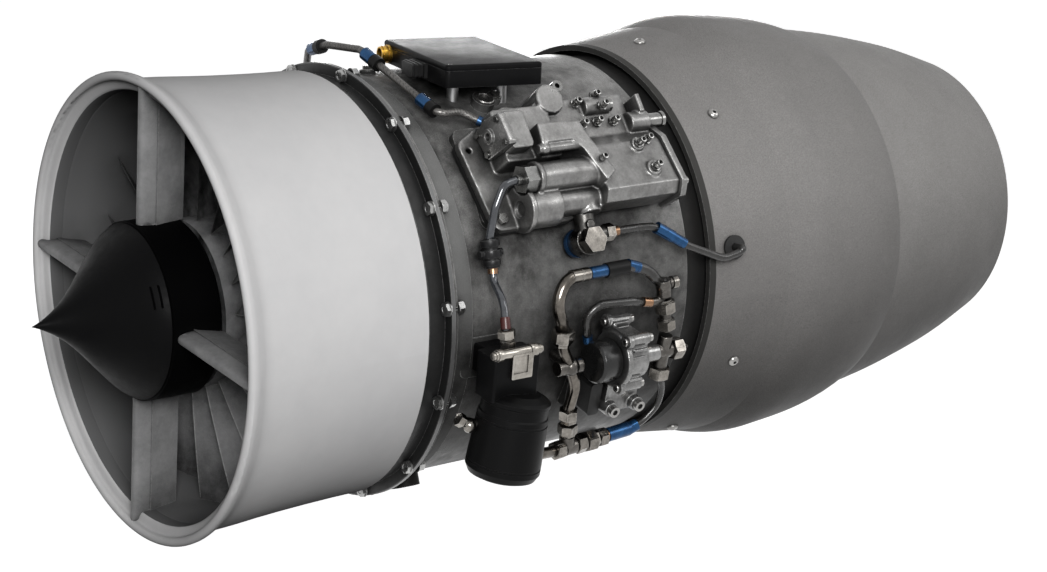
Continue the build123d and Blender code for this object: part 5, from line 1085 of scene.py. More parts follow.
@dataclass
class Workshop:
    """What every sub-assembly needs: the frame's nodes, the materials and the repeats.

    Attributes:
        nodes: the frame's objects by name.
        slots: the material slot of each node.
        materials: the finished material of each slot.
        repeats: the trees that set small pieces.
        body: the body that new pieces ride on.
        spare_slot: the slot that is named for a finish that the record doesn't have; it is not
            used.
        edge_angle: edges sharper than this many degrees are rounded.
        edge_steps: how many steps a rounding has.
        most_turn: the most that a small piece is turned about itself, in degrees.
    """

    nodes: dict[str, bpy.types.Object]
    slots: dict[str, str]
    materials: dict[str, bpy.types.Material]
    repeats: Repeats
    body: str = "engine"
    spare_slot: str = "copper"
    edge_angle: float = 30.0
    edge_steps: int = 2
    most_turn: float = 60.0

    def _finish(self, mesh: bpy.types.Mesh, slot: str) -> None:
        """Gives a mesh one slot's material and no other."""
        mesh.materials.clear()
        mesh.materials.append(self.materials[slot])

    def dress(self, *names: str) -> None:
        """Gives each node its slot's material."""
        for name in names:
            self._finish(self.nodes[name].data, self.slots[name])
        LOG.info("dressed %s", ", ".join(names))

    def new_piece(self, name: str, mesh: bpy.types.Mesh, slot: str) -> bpy.types.Object:
        """Makes a finished mesh a piece that rides on the engine.

        Args:
            name: the piece's name.
            mesh: its mesh, already in place.
            slot: the material slot that it takes its finish from.

        Returns:
            The piece.
        """
        self._finish(mesh, slot)
        piece = placed(name, mesh)
        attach(piece, self.body)
        LOG.info("made %s", name)
        return piece

    def stand(
        self, name: str, rings: Sequence[Ring], spot: Vector, axis: Vector, slot: str
    ) -> bpy.types.Object:
        """Makes one turned piece that stands on a spot along an axis.

        Args:
            name: the piece's name.
            rings: its rings, in millimetres.
            spot: where its foot is.
            axis: the way that it stands.
            slot: the material slot.

        Returns:
            The piece.
        """
        mesh = ringed_mesh(name, rings)
        turn = axis.to_track_quat("Z", "Y").to_matrix().to_4x4()
        mesh.transform(Matrix.Translation(spot) @ turn)
        return self.new_piece(name, mesh, slot)

    def _run(
        self, name: str, tree: bpy.types.NodeTree, start: bpy.types.Mesh, values: dict[str, object]
    ) -> bpy.types.Mesh:
        """Runs a tree on a mesh and gives the result as a plain mesh."""
        holder = placed(name + "_layout", start)
        modifier = holder.modifiers.new("repeat", "NODES")
        modifier.node_group = tree
        for item in tree.interface.items_tree:
            if item.item_type == "SOCKET" and item.in_out == "INPUT" and item.name in values:
                modifier[item.identifier] = values[item.name]
        plain = made_real(holder)
        holder.modifiers.clear()
        bpy.data.objects.remove(holder)
        return plain

    def _master(self, name: str, rings: Sequence[Ring]) -> bpy.types.Object:
        """Makes the one small piece that a tree repeats."""
        return placed(name + "_master", ringed_mesh(name + "_master", rings))

    def ring_of(
        self, name: str, rings: Sequence[Ring], slot: str, count: int, radius: float,
        station: float, phase: float, tilt: float, left_out: int = -1,
    ) -> bpy.types.Object:
        """Sets a small piece in a ring about the engine's axis.

        Args:
            name: the name of the finished piece.
            rings: the small piece's rings, in millimetres.
            slot: the material slot.
            count: how many places the ring has.
            radius: the ring's radius in millimetres.
            station: where the ring is, in millimetres behind the lip.
            phase: the clock of its first place, in degrees.
            tilt: degrees from outward towards aft.
            left_out: the place that stays empty, or -1.

        Returns:
            The finished piece.
        """
        master = self._master(name, rings)
        values = {
            "Piece": master, "Count": count, "Radius": radius / MILLI,
            "Along": y_at(station / MILLI), "Phase": math.radians(phase),
            "Tilt": math.radians(tilt), "Left out": left_out, "Finish": self.materials[slot],
        }
        mesh = self._run(name, self.repeats.ring, bpy.data.meshes.new(name), values)
        bpy.data.objects.remove(master)
        return self.new_piece(name, mesh, slot)

    def on_spots(
        self, name: str, rings: Sequence[Ring], slot: str, spots: Sequence[tuple[Vector, Vector]],
        seed: int = 4,
    ) -> bpy.types.Object:
        """Sets a small piece on each of some spots.

        Args:
            name: the name of the finished piece.
            rings: the small piece's rings, in millimetres.
            slot: the material slot.
            spots: each spot with the way that it faces.
            seed: the seed of the pieces' turns about themselves.

        Returns:
            The finished piece.
        """
        master = self._master(name, rings)
        marks = bpy.data.meshes.new(name + "_marks")
        marks.from_pydata([spot for spot, _ in spots], [], [])
        facing = marks.attributes.new("facing", "FLOAT_VECTOR", "POINT")
        for item, (_, way) in zip(facing.data, spots):
            item.vector = way
        values = {
            "Piece": master, "Most turn": math.radians(self.most_turn), "Seed": seed,
            "Finish": self.materials[slot],
        }
        mesh = self._run(name, self.repeats.spots, marks, values)
        bpy.data.objects.remove(master)
        return self.new_piece(name, mesh, slot)

    def _copy(self, node: str, suffix: str) -> bpy.types.Object:
        """Copies a node's mesh, merges its loose triangles and gives it an object."""
        mesh = self.nodes[node].data.copy()
        with opened(mesh) as shape:
            bmesh.ops.remove_doubles(shape, verts=shape.verts, dist=1e-6)
        return placed(node + suffix, mesh)

    def _stand_for(self, piece: bpy.types.Object, node: str, sharp: float) -> bpy.types.Object:
        """Makes a copy's modifiers real and lets it stand for its node.

        Args:
            piece: the copy.
            node: the CAD node.
            sharp: edges sharper than this many degrees stay sharp, or 0 for none.

        Returns:
            The finished piece.
        """
        plain = made_real(piece)
        piece.modifiers.clear()
        piece.data = plain
        plain.shade_smooth()
        if sharp > 0.0:
            plain.set_sharp_from_angle(angle=math.radians(sharp))
        self._finish(plain, self.slots[node])
        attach(piece, self.nodes[node]["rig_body"])
        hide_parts(node)
        LOG.info("made %s with %d faces", piece.name, len(plain.polygons))
        return piece

    def softened(self, node: str, width: float) -> bpy.types.Object:
        """Rounds the sharp edges of a copy of a node.

        Args:
            node: the CAD node.
            width: the width of the rounding in metres.

        Returns:
            The piece that stands for the node.
        """
        piece = self._copy(node, "_soft")
        with opened(piece.data) as shape:
            bmesh.ops.dissolve_limit(
                shape, angle_limit=math.radians(0.5), use_dissolve_boundaries=False,
                verts=shape.verts, edges=shape.edges, delimit=set(),
            )
        bevel = piece.modifiers.new("rounding", "BEVEL")
        bevel.width = width
        bevel.segments = self.edge_steps
        bevel.limit_method = "ANGLE"
        bevel.angle_limit = math.radians(self.edge_angle)
        bevel.use_clamp_overlap = True
        return self._stand_for(piece, node, sharp=32.0)

    def thickened(
        self, node: str, cover: Callable[[Vector], float], other: Callable[[Vector], bool],
        slot: str,
    ) -> bpy.types.Object:
        """Gives a copy of a node a cover of its own thickness at each point.

        Args:
            node: the CAD node.
            cover: gives the thickness at a point, in metres.
            other: tells where the copy has a second finish.
            slot: the slot of that second finish.

        Returns:
            The piece that stands for the node.
        """
        piece = self._copy(node, "_cover")
        with opened(piece.data) as shape:
            shape.normal_update()
            moves = [(point, point.normal * cover(point.co)) for point in shape.verts]
            for point, move in moves:
                point.co += move
        self._stand_for(piece, node, sharp=40.0)
        piece.data.materials.append(self.materials[slot])
        for face in piece.data.polygons:
            face.material_index = 1 if other(face.center) else 0
        return piece

    def recast(
        self, node: str, voxel: float, passes: int = 2, blocks: Sequence[tuple[Spot, Spot]] = (),
        zone: Zone | None = None,
    ) -> bpy.types.Object:
        """Gives a copy of a node the soft edges and corners of a casting.

        Args:
            node: the CAD node.
            voxel: the size of the new faces in metres.
            passes: how often the skin is smoothed.
            blocks: the lowest and highest corners of blocks that are cast on.
            zone: the place that the blocks are measured in, in millimetres.

        Returns:
            The piece that stands for the node.
        """
        piece = self._copy(node, "_cast")
        if zone is not None and blocks:
            with opened(piece.data) as shape:
                for low, high in blocks:
                    corners = bmesh.ops.create_cube(shape, size=1.0)["verts"]
                    for corner in corners:
                        share = [part + 0.5 for part in corner.co]
                        corner.co = zone.at(*(a + (b - a) * t for a, b, t in zip(low, high, share)))
                    faces = list({face for corner in corners for face in corner.link_faces})
                    bmesh.ops.recalc_face_normals(shape, faces=faces)
        skin = piece.modifiers.new("skin", "REMESH")
        skin.mode = "VOXEL"
        skin.voxel_size = voxel
        smooth = piece.modifiers.new("smooth", "SMOOTH")
        smooth.factor = 0.5
        smooth.iterations = passes
        return self._stand_for(piece, node, sharp=0.0)


# ---------------------------------------------------------------- sub-assemblies


@dataclass
class Intake:
    """The lip and barrel, the struts, the hub, the nose cone and the fan."""

    skins: tuple[str, ...] = ("intake_duct", "inlet_hub", "nose_cone", "fan_rotor", "fan_nut")
    strut_rounding: float = 0.0006

    def make(self, shop: Workshop) -> None:
        """Dresses the intake and rounds its struts."""
        shop.dress(*self.skins)
        shop.softened("inlet_struts", self.strut_rounding)


@dataclass
class FlangeJoint:
    """The fan case and the ring of bolts that holds it to the casing, in millimetres."""

    bolts: int = 14
    phase: float = 10.6
    bolt_circle: float = 183.0
    station: float = 190.0
    thickness: float = 3.5
    across: float = 10.0
    head: float = 4.5
    nut: float = 6.0

    def make(self, shop: Workshop) -> None:
        """Dresses the fan case and sets the bolt heads and the nuts."""
        shop.dress("fan_case")
        half = self.across / 2
        washer = [
            Ring(half * 1.22, 0.0), Ring(half * 1.22, 0.7), Ring(half * 1.16, 0.9),
            Ring(half, 0.9, True),
        ]
        head = washer + [
            Ring(half, self.head, True, CHAMFER), Ring(half * 0.93, self.head),
            Ring(half * 0.55, self.head), Ring(half * 0.5, self.head - 0.3),
        ]
        nut = washer + [
            Ring(half, self.nut, True, CHAMFER), Ring(half * 0.93, self.nut), Ring(3.0, self.nut),
            Ring(3.0, self.nut + 1.6), Ring(2.5, self.nut + 2.0),
        ]
        front = shop.ring_of(
            "flange_bolt_heads", head, "bolt_steel", self.bolts, self.bolt_circle,
            self.station - self.thickness, self.phase, -90.0,
        )
        rear = shop.ring_of(
            "flange_nuts", nut, "bolt_steel", self.bolts, self.bolt_circle,
            self.station + self.thickness, self.phase, 90.0,
        )
        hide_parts("flange_bolts")
        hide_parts("flange_bolts")


@dataclass
class Casing:
    """The bare casing with its bosses, and the ring that carries the cowl.

    Attributes:
        bosses: each boss's clock in degrees, its station and its height in millimetres.
        port: the same for the open port.
    """

    bosses: tuple[Spot, ...] = ((69.4, 302.0, 6.0), (98.0, 231.0, 3.0))
    port: Spot = (68.0, 288.0, 7.5)

    def make(self, shop: Workshop) -> None:
        """Dresses the casing and sets a bolt on each boss and a ring in the port."""
        shop.dress("main_casing", "cowl_support_ring")
        bolt = [
            Ring(5.6, 0.0), Ring(5.6, 0.8), Ring(5.3, 1.0), Ring(4.0, 1.0, True),
            Ring(4.0, 4.0, True, CHAMFER), Ring(3.7, 4.0), Ring(2.0, 4.0), Ring(1.8, 3.7),
        ]
        spots = []
        for clock, station, height in self.bosses:
            place = Zone(clock, station)
            spots.append((place.at(0, 0, height), place.out()))
        shop.on_spots("boss_bolts", bolt, "screw_steel", spots)
        clock, station, height = self.port
        place = Zone(clock, station)
        shop.stand(
            "port_ring",
            [
                Ring(8.6, 0.0), Ring(8.6, 1.4), Ring(8.0, 2.0), Ring(5.2, 2.0), Ring(4.6, 1.4),
                Ring(4.4, -4.0), Ring(5.0, -4.4),
            ],
            place.at(0, 0, height), place.out(), "screw_steel",
        )


@dataclass
class ControlBox:
    """The black control box, its lid, posts, connector and conduit.

    Attributes:
        rounding: the width of the rounded edges in metres.
        lid_top: how far above its base the lid's screws sit, in millimetres.
        half_width: half the distance between the screws along the width.
        half_depth: half the distance between the screws along the depth.
        wide: the direction of its width.
        out: the direction out of its lid.
        base: the middle of its foot, in millimetres.
    """

    rounding: float = 0.0007
    lid_top: float = 18.2
    half_width: float = 61.0
    half_depth: float = 38.5
    wide: Spot = (0.982, -0.173, 0.070)
    out: Spot = (-0.069, 0.0121, 0.9975)
    base: Spot = (23.0, -598.0, 181.0)

    def make(self, shop: Workshop) -> None:
        """Dresses the box and its lines, and sets the lid's screws."""
        shop.dress(
            "box_standoffs", "box_connector", "box_plug", "wiring_conduit", "blue_bands",
            "black_sleeves",
        )
        shop.softened("control_box", self.rounding)
        shop.softened("control_box_lid", self.rounding)
        out = Vector(self.out).normalized()
        width = Vector(self.wide).normalized()
        depth = out.cross(width).normalized()
        screw = [
            Ring(2.6, 0.0), Ring(2.6, 0.35), Ring(2.2, 0.7), Ring(1.3, 0.85), Ring(1.1, 0.85, True),
            Ring(1.1, 0.1, True),
        ]
        lid = Vector(self.base) + out * self.lid_top
        spots = []
        for side in (-1, 1):
            for end in (-1, 1):
                corner = lid + width * (self.half_width * side) + depth * (self.half_depth * end)
                spots.append((corner / MILLI, out))
        shop.on_spots("lid_screws", screw, "screw_steel", spots)


@dataclass
class FuelControl:
    """The cast fuel control with its covers, nipples and gland, in millimetres."""

    voxel: float = 0.00095
    cover_rounding: float = 0.0008
    nipples: tuple[Spot, ...] = (
        (93, 51, 30), (115, 56, 30), (113, 43, 38), (92, 31, 30), (108, 32, 30), (125, 31, 30),
        (133, 4, 42), (146, 8, 37.4), (84, -8, 47), (138, -20, 45.5),
    )

    def make(self, shop: Workshop) -> None:
        """Casts the body, rounds the covers and sets a barbed nipple over each stub."""
        shop.dress("control_gasket")
        shop.recast("fuel_control_body", self.voxel)
        shop.softened("fuel_control_covers", self.cover_rounding)
        shop.dress("barrel_gland", "fuel_control_fittings")
        barb = [
            Ring(3.9, -0.6, True), Ring(3.9, 2.2, True, CHAMFER), Ring(3.5, 2.2), Ring(2.3, 2.2),
            Ring(2.3, 3.4), Ring(3.0, 3.8), Ring(2.4, 5.2), Ring(3.0, 5.6), Ring(2.4, 7.0),
            Ring(2.9, 7.4), Ring(2.6, 9.0), Ring(1.8, 9.1), Ring(1.7, 4.0),
        ]
        spots = [(CONTROL_ZONE.at(*spot), CONTROL_ZONE.out()) for spot in self.nipples]
        shop.on_spots("barbed_nipples", barb, "fitting_nickel", spots)


@dataclass
class Outlet:
    """The outlet elbow under the fuel control, and its hose to the cowl."""

    voxel: float = 0.0006

    def make(self, shop: Workshop) -> None:
        """Casts the elbow and dresses its hose and grommet."""
        shop.recast("outlet_elbow", self.voxel)
        shop.dress("outlet_hose", "cowl_grommet")


@dataclass
class SenseLine:
    """The clear sense line, its union and the red sleeve at its lower end."""

    start: Spot = (-8.2, 31.0, 32.9)
    end: Spot = (-9.6, 22.0, 37.2)
    nut_top: Spot = (-9.4, 22.0, 37.3)
    nut_foot: Spot = (-7.0, 8.0, 38.0)
    radius: float = 4.1
    union_rounding: float = 0.0005

    def make(self, shop: Workshop) -> None:
        """Dresses the line, slips the red sleeve on and adds the nut under it."""
        shop.dress("sense_tubes")
        shop.softened("sense_union", self.union_rounding)
        low, high = HEAD_ZONE.at(*self.start), HEAD_ZONE.at(*self.end)
        length = (high - low).length * MILLI
        sleeve = [
            Ring(self.radius - 0.7, 0.0), Ring(self.radius - 0.1, 0.4), Ring(self.radius, 1.4),
            Ring(self.radius, length - 1.4), Ring(self.radius - 0.1, length - 0.4),
            Ring(self.radius - 0.7, length),
        ]
        shop.stand("red_shrink_sleeve", sleeve, low, high - low, "red_sleeve")
        nut = [
            Ring(3.6, -0.4), Ring(5.8, -0.4), Ring(6.5, 0.0, True, -CHAMFER),
            Ring(6.5, 6.5, True, CHAMFER), Ring(5.0, 6.6), Ring(4.8, 9.0), Ring(6.0, 9.4),
            Ring(6.0, 13.0), Ring(4.0, 13.4),
        ]
        top, foot = HEAD_ZONE.at(*self.nut_top), HEAD_ZONE.at(*self.nut_foot)
        shop.stand("sense_line_nut", nut, top, foot - top, "clamp_nickel")


@dataclass
class Filter:
    """The filter canister under its head, with the clamp across them."""

    head_rounding: float = 0.0010
    clamp_rounding: float = 0.0007

    def make(self, shop: Workshop) -> None:
        """Dresses the canister and rounds the head and the clamp."""
        shop.dress("filter_canister")
        shop.softened("filter_head", self.head_rounding)
        shop.softened("filter_clamp", self.clamp_rounding)


@dataclass
class Pump:
    """The electric fuel pump with its cast body, bracket and screws.

    Attributes:
        voxel: the size of the casting's faces in metres.
        motor_rounding: the width of the motor's rounded edges in metres.
        bracket_rounding: the same for the bracket.
        motor_out: how far the motor's axis is from the casing, in millimetres.
        screw_seat: how far aft the screws sit, in millimetres.
        lobes: how far up, and out from the axis, each screw is.
        housing: the lowest and highest corners of the blocks and fins of the casting.
    """

    voxel: float = 0.0007
    motor_rounding: float = 0.0003
    bracket_rounding: float = 0.0009
    motor_out: float = 32.0
    screw_seat: float = 38.2
    lobes: tuple[tuple[float, float], ...] = ((27, 14), (-16, 14), (31, -17), (-16, -17))
    housing: tuple[tuple[Spot, Spot], ...] = (
        ((41, -13, 17), (60, 24, 47)), ((41, 18, 38), (58, 30, 48)), ((41, 20, 12), (58, 33, 24)),
        ((41, -19, 12), (58, -8, 24)), ((41, -19, 40), (58, -8, 48)), ((40, -20, 12), (43, 31, 49)),
        ((46, -7, 46), (57, -5.2, 48.6)), ((46, -2, 46), (57, -0.2, 48.6)),
        ((46, 3, 46), (57, 4.8, 48.6)), ((46, 8, 46), (57, 9.8, 48.6)),
        ((46, 13, 46), (57, 14.8, 48.6)),
    )

    def make(self, shop: Workshop) -> None:
        """Casts the body, dresses the motor and sets the flange's screws."""
        shop.recast("pump_body", self.voxel, blocks=self.housing, zone=PUMP_ZONE)
        shop.softened("pump_motor", self.motor_rounding)
        shop.softened("pump_bracket", self.bracket_rounding)
        shop.dress("pump_screws")
        screw = [
            Ring(3.6, 0.0), Ring(3.6, 2.0), Ring(3.2, 2.5), Ring(1.8, 2.5), Ring(1.7, 2.5, True),
            Ring(1.7, 0.8, True),
        ]
        front = Vector((0.0, -1.0, 0.0))
        seats = [(self.screw_seat, up, self.motor_out + out) for up, out in self.lobes]
        spots = [(PUMP_ZONE.at(*seat), front) for seat in seats]
        shop.on_spots("pump_flange_screws", screw, "screw_steel", spots)


@dataclass
class Pipework:
    """The pipes, hoses, tees and nuts beside the pump.

    Attributes:
        fitting_voxel: the size of the tees' faces in metres.
        large_size: half a large nut's width and its length, in millimetres.
        small_size: the same for a small nut.
        large_nuts: the start of each nut's pipe, a point that the pipe runs toward, and
            how far along it the nut is.
        small_nuts: the same for the small nuts.
        large_seed: the seed of the large nuts' turns.
        small_seed: the seed of the small nuts' turns.
        covers: the thickness of a hose's cover on its lower, rear, front and top runs,
            in metres.
        lower_below: where the lower run ends, in millimetres up from the pump's zone.
        top_above: where the top run starts, in the same way.
        rear_behind: where the rear run starts, in millimetres aft.
        front_ahead: where the front run ends, in the same way.
        tube_above: where the loop's bare metal tube starts, in millimetres up.
        ferrule_from: one end of the loop's ferrule.
        ferrule_to: its other end.
    """

    fitting_voxel: float = 0.00055
    large_size: tuple[float, float] = (8.4, 10.0)
    small_size: tuple[float, float] = (7.4, 8.6)
    large_nuts: tuple[tuple[Spot, Spot, float], ...] = (
        ((-15, 36, 27), (-14, 22, 27), -2.0), ((107, 0, 28), (108, 0, 28), -0.5),
        ((98, -16, 28), (98, -17, 28), -0.5), ((-6, -77.5, 30.5), (82, -76, 24), 35.5),
        ((98, 22, 26), (90, 63, 20), 14.5),
    )
    small_nuts: tuple[tuple[Spot, Spot, float], ...] = (
        ((5, -40, 28), (9.5, -77.5, 29.4), 0.0), ((5, -40, 28), (9.5, -77.5, 29.4), 14.5),
        ((-6, -77.5, 30.5), (82, -76, 24), 1.5), ((-6, -77.5, 30.5), (82, -76, 24), 25.5),
        ((-6, -77.5, 30.5), (82, -76, 24), 49.5), ((98, 22, 26), (90, 63, 20), -1.5),
    )
    large_seed: int = 7
    small_seed: int = 9
    covers: tuple[float, float, float, float] = (0.0003, 0.0011, 0.0016, 0.0010)
    lower_below: float = -2.0
    top_above: float = 56.0
    rear_behind: float = 8.0
    front_ahead: float = -4.0
    tube_above: float = 20.0
    ferrule_from: Spot = (-6.0, 78.0, 12.8)
    ferrule_to: Spot = (12.5, 78.0, 12.0)

    def _starts(self, rows: Sequence[tuple[Spot, Spot, float]]) -> list[tuple[Vector, Vector]]:
        """Gives each nut's starting point and the way that it faces."""
        found = []
        for start, toward, offset in rows:
            low, high = PUMP_ZONE.at(*start), PUMP_ZONE.at(*toward)
            way = (high - low).normalized()
            found.append((low + way * offset / MILLI, way))
        return found

    def _cover(self, point: Vector) -> float:
        """Gives the thickness of a hose's cover at a point, in metres."""
        lower, rear, front, top = self.covers
        aft, up, _ = PUMP_ZONE.read(point)
        if up < self.lower_below:
            return lower
        if up < self.top_above and aft > self.rear_behind:
            return rear
        return front if aft < self.front_ahead else top

    def _is_tube(self, point: Vector) -> bool:
        """Tells the loop's bare metal tube from its covered part."""
        aft, up, _ = PUMP_ZONE.read(point)
        return aft < 0.0 and up > self.tube_above

    def make(self, shop: Workshop) -> None:
        """Dresses the pipes, thickens the hoses and adds the nuts and the ferrule."""
        shop.dress("fuel_pipes", "copper_rings")
        shop.thickened("loop_hoses", self._cover, self._is_tube, "pipe_metal")
        shop.dress("pipe_nuts")
        for name, size, rows, seed in (
            ("large_union_nuts", self.large_size, self.large_nuts, self.large_seed),
            ("small_union_nuts", self.small_size, self.small_nuts, self.small_seed),
        ):
            shop.on_spots(name, union_nut(*size), "nut_nickel", self._starts(rows), seed)
        shop.recast("pipe_fittings", self.fitting_voxel, passes=1)
        low, high = PUMP_ZONE.at(*self.ferrule_from), PUMP_ZONE.at(*self.ferrule_to)
        length = (high - low).length * MILLI
        ferrule = [
            Ring(4.6, 0.0), Ring(5.8, 0.6), Ring(5.8, length * 0.45), Ring(5.3, length * 0.48),
            Ring(5.3, length * 0.56), Ring(5.8, length * 0.59), Ring(5.8, length - 0.6),
            Ring(4.8, length),
        ]
        shop.stand("loop_ferrule", ferrule, low, high - low, "nut_nickel")


@dataclass
class Cowl:
    """The rear cowl and the nozzle, with the cowl's button head screws, in millimetres."""

    places: int = 10
    phase: float = -20.0
    station: float = 505.0
    front: float = 462.0
    lip_radius: float = 182.5
    crest_radius: float = 193.4
    taper: float = 85.0
    grommet_place: int = 1

    def make(self, shop: Workshop) -> None:
        """Dresses the cowl and the nozzle, and sets the screws on the front taper."""
        shop.dress("rear_cowl", "exhaust_nozzle")
        button = [
            Ring(5.25, -0.4), Ring(5.25, 0.8), Ring(4.9, 1.6), Ring(4.2, 2.4), Ring(3.2, 3.0),
            Ring(2.1, 3.25), Ring(1.7, 3.3), Ring(1.5, 3.2, True), Ring(1.5, 1.4, True),
        ]
        slope = (self.crest_radius - self.lip_radius) / self.taper
        radius = self.lip_radius + (self.station - self.front) * slope
        screws = shop.ring_of(
            "cowl_button_screws", button, "screw_steel", self.places, radius, self.station,
            self.phase, -math.degrees(math.atan(slope)), self.grommet_place,
        )
        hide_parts("cowl_screws")


@dataclass
class Internals:
    """The core, which shows only through the intake and the nozzle."""

    still: tuple[str, ...] = (
        "outlet_guide_vanes", "core_housing", "radial_diffuser", "burner_liner", "fuel_injectors",
        "igniter_plugs", "turbine_stators", "bearing_outer_races", "bearing_balls", "exhaust_cone",
    )
    turning: tuple[str, ...] = (
        "fan_shaft", "fan_turbine", "fan_bearing_races", "impeller", "core_turbine", "core_shaft",
        "core_bearing_races",
    )

    def make(self, shop: Workshop) -> None:
        """Dresses the fixed parts of the core and its two spools."""
        shop.dress(*self.still, *self.turning)


# ---------------------------------------------------------------- stage


@dataclass(frozen=True)
class Lamp:
    """One soft rectangular lamp.

    Attributes:
        name: its name.
        spot: where it hangs.
        aim: the point that it faces.
        size: its two sides in metres.
        power: its power in watts.
        spread: how wide its light goes, in degrees.
    """

    name: str
    spot: Spot
    aim: Spot
    size: tuple[float, float]
    power: float
    spread: float = 100.0

    def hang(self) -> None:
        """Hangs the lamp."""
        data = bpy.data.lights.new(self.name, "AREA")
        data.shape = "RECTANGLE"
        data.size, data.size_y = self.size
        data.energy = self.power
        data.spread = math.radians(self.spread)
        lamp = placed(self.name, data)
        lamp.location = self.spot
        way = Vector(self.aim) - Vector(self.spot)
        lamp.rotation_euler = way.to_track_quat("-Z", "Y").to_euler()


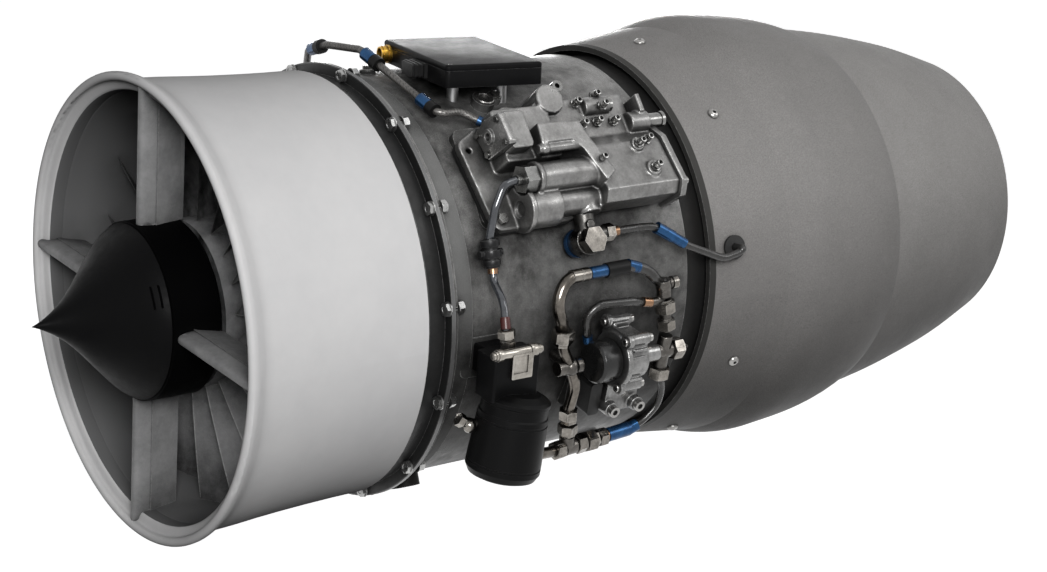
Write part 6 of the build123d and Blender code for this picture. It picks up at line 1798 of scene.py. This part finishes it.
@dataclass
class Studio:
    """The camera at the photograph's viewpoint, the pale floor and the soft light.

    Attributes:
        lens: the camera's lens in millimetres.
        sensor: the width of its sensor in millimetres.
        lip_radius: the intake lip's radius in metres, the unit of the camera's place.
        camera_at: the camera's place from the lip's centre, in lip radii.
        right: the camera's X axis.
        up: its Y axis.
        back: its Z axis.
        floor_z: the floor's height in metres.
        floor_size: the floor's side in metres.
        floor_paint: how pale the floor is where it is seen.
        glow: how much of white the floor gives of its own, near and far.
        glow_reach: the radii where it starts and where it is full, in metres.
        surroundings: the strength of the surroundings as a light.
        bounced: how pale the floor is as a light from below.
        lamps: the lamps.
    """

    lens: float = 75.645
    sensor: float = 36.0
    lip_radius: float = 0.195
    camera_at: Spot = (7.79990, -3.96337, 3.20918)
    right: Spot = (0.5879289, 0.8054942, 0.0742878)
    up: Spot = (-0.3051996, 0.1358366, 0.9425506)
    back: Spot = (0.7491280, -0.5768254, 0.3256988)
    floor_z: float = -0.60
    floor_size: float = 30.0
    floor_paint: float = 0.50
    glow: tuple[float, float] = (0.90, 1.0)
    glow_reach: tuple[float, float] = (1.0, 3.5)
    surroundings: float = 0.025
    bounced: float = 0.06
    lamps: tuple[Lamp, ...] = (
        Lamp("key", (2.5, -2.0, 1.45), (0.0, -0.5, 0.0), (1.2, 1.0), 30.0),
        Lamp("top", (1.1, 0.1, 1.9), (0.0, -0.35, 0.1), (0.8, 0.6), 0.7, 55.0),
        Lamp("far side", (-2.4, 1.0, -0.14), (0.0, -0.35, 0.0), (1.6, 0.56), 13.0),
        Lamp("rear", (1.7, 1.5, 1.6), (0.0, -0.05, 0.1), (1.2, 1.0), 4.0),
    )

    def place_camera(self) -> None:
        """Sets the camera where the photograph was taken from."""
        data = bpy.data.cameras.new("camera")
        data.lens = self.lens
        data.sensor_width = self.sensor
        data.sensor_fit = "HORIZONTAL"
        data.clip_end = 60.0
        camera = placed("camera", data)
        place = Matrix.Identity(4)
        for column, axis in enumerate((self.right, self.up, self.back)):
            for row in range(3):
                place[row][column] = axis[row]
        place.translation = Vector(self.camera_at) * self.lip_radius + Vector((0.0, y_at(0.0), 0.0))
        camera.matrix_world = place
        bpy.context.scene.camera = camera

    def lay_floor(self) -> None:
        """Lays a pale floor that the camera sees as white, with a faint shadow."""
        mesh = bpy.data.meshes.new("floor")
        half = self.floor_size / 2
        corners = [(-half, -half), (half, -half), (half, half), (-half, half)]
        mesh.from_pydata([(x, y, self.floor_z) for x, y in corners], [], [(0, 1, 2, 3)])
        floor = placed("floor", mesh)
        material = bpy.data.materials.new("pale floor")
        sheet = empty_sheet(material)
        paint = sheet.add("ShaderNodeBsdfDiffuse")
        paint.inputs[0].default_value = grey(self.floor_paint)
        bounce = sheet.add("ShaderNodeBsdfDiffuse")
        bounce.inputs[0].default_value = grey(self.bounced)
        glow = sheet.add("ShaderNodeEmission")
        glow.inputs[0].default_value = WHITE
        x, y, _ = sheet.split(sheet.add("ShaderNodeTexCoord").outputs["Object"])
        away = sheet.distance(x, y)
        sheet.feed(glow.inputs[1], sheet.spread(away, *self.glow_reach, *self.glow))
        both = sheet.add("ShaderNodeAddShader")
        sheet.feed(both.inputs[0], paint.outputs[0])
        sheet.feed(both.inputs[1], glow.outputs[0])
        output = sheet.add("ShaderNodeOutputMaterial")
        rays = ("Is Camera Ray", "Is Glossy Ray")
        self._choose(sheet, rays, bounce.outputs[0], both.outputs[0], output)
        mesh.materials.append(material)

    def _choose(
        self, sheet: NodeSheet, rays: tuple[str, ...], lit: bpy.types.NodeSocket,
        seen: bpy.types.NodeSocket, output: bpy.types.Node,
    ) -> None:
        """Gives some kinds of rays one shader and every other ray another.

        Args:
            sheet: the sheet to build on.
            rays: the kinds of rays that see.
            lit: the shader that lights the object.
            seen: the shader that is seen.
            output: the output node.
        """
        path = sheet.add("ShaderNodeLightPath")
        share = path.outputs[rays[0]]
        for kind in rays[1:]:
            share = sheet.maths("MAXIMUM", share, path.outputs[kind])
        mix = sheet.add("ShaderNodeMixShader")
        for socket, value in zip(mix.inputs, (share, lit, seen)):
            sheet.feed(socket, value)
        sheet.feed(output.inputs[0], mix.outputs[0])

    def light_world(self) -> None:
        """Gives the surroundings: white where seen, softer as a light."""
        world = bpy.data.worlds.new("studio")
        bpy.context.scene.world = world
        sheet = empty_sheet(world)
        shades = []
        for strength in (self.surroundings, 1.0):
            shade = sheet.add("ShaderNodeBackground")
            shade.inputs[0].default_value = WHITE
            shade.inputs[1].default_value = strength
            shades.append(shade.outputs[0])
        output = sheet.add("ShaderNodeOutputWorld")
        rays = ("Is Camera Ray", "Is Glossy Ray", "Is Transmission Ray")
        self._choose(sheet, rays, *shades, output)

    def set_up(self) -> None:
        """Builds the whole stage."""
        self.place_camera()
        self.lay_floor()
        self.light_world()
        for lamp in self.lamps:
            lamp.hang()
        bpy.context.scene.view_settings.view_transform = "Standard"


# ---------------------------------------------------------------- main


def main() -> None:
    """Builds the stage and every sub-assembly."""
    logging.basicConfig(level=logging.INFO, format="%(message)s")
    for obj in list(bpy.data.objects):
        bpy.data.objects.remove(obj)
    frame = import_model()
    groups = EffectGroups()
    shop = Workshop(
        nodes=frame["nodes"],
        slots={row["node"]: row["material_slot"] for row in frame["record"]["subparts"]},
        materials={slot: finish.build(groups) for slot, finish in FINISHES.items()},
        repeats=Repeats(),
    )
    Studio().set_up()
    for assembly in (
        Intake(), FlangeJoint(), Casing(), ControlBox(), FuelControl(), Outlet(), SenseLine(),
        Filter(), Pump(), Pipework(), Cowl(), Internals(),
    ):
        LOG.info("-- %s", type(assembly).__name__)
        assembly.make(shop)


if __name__ == "__main__":
    main()
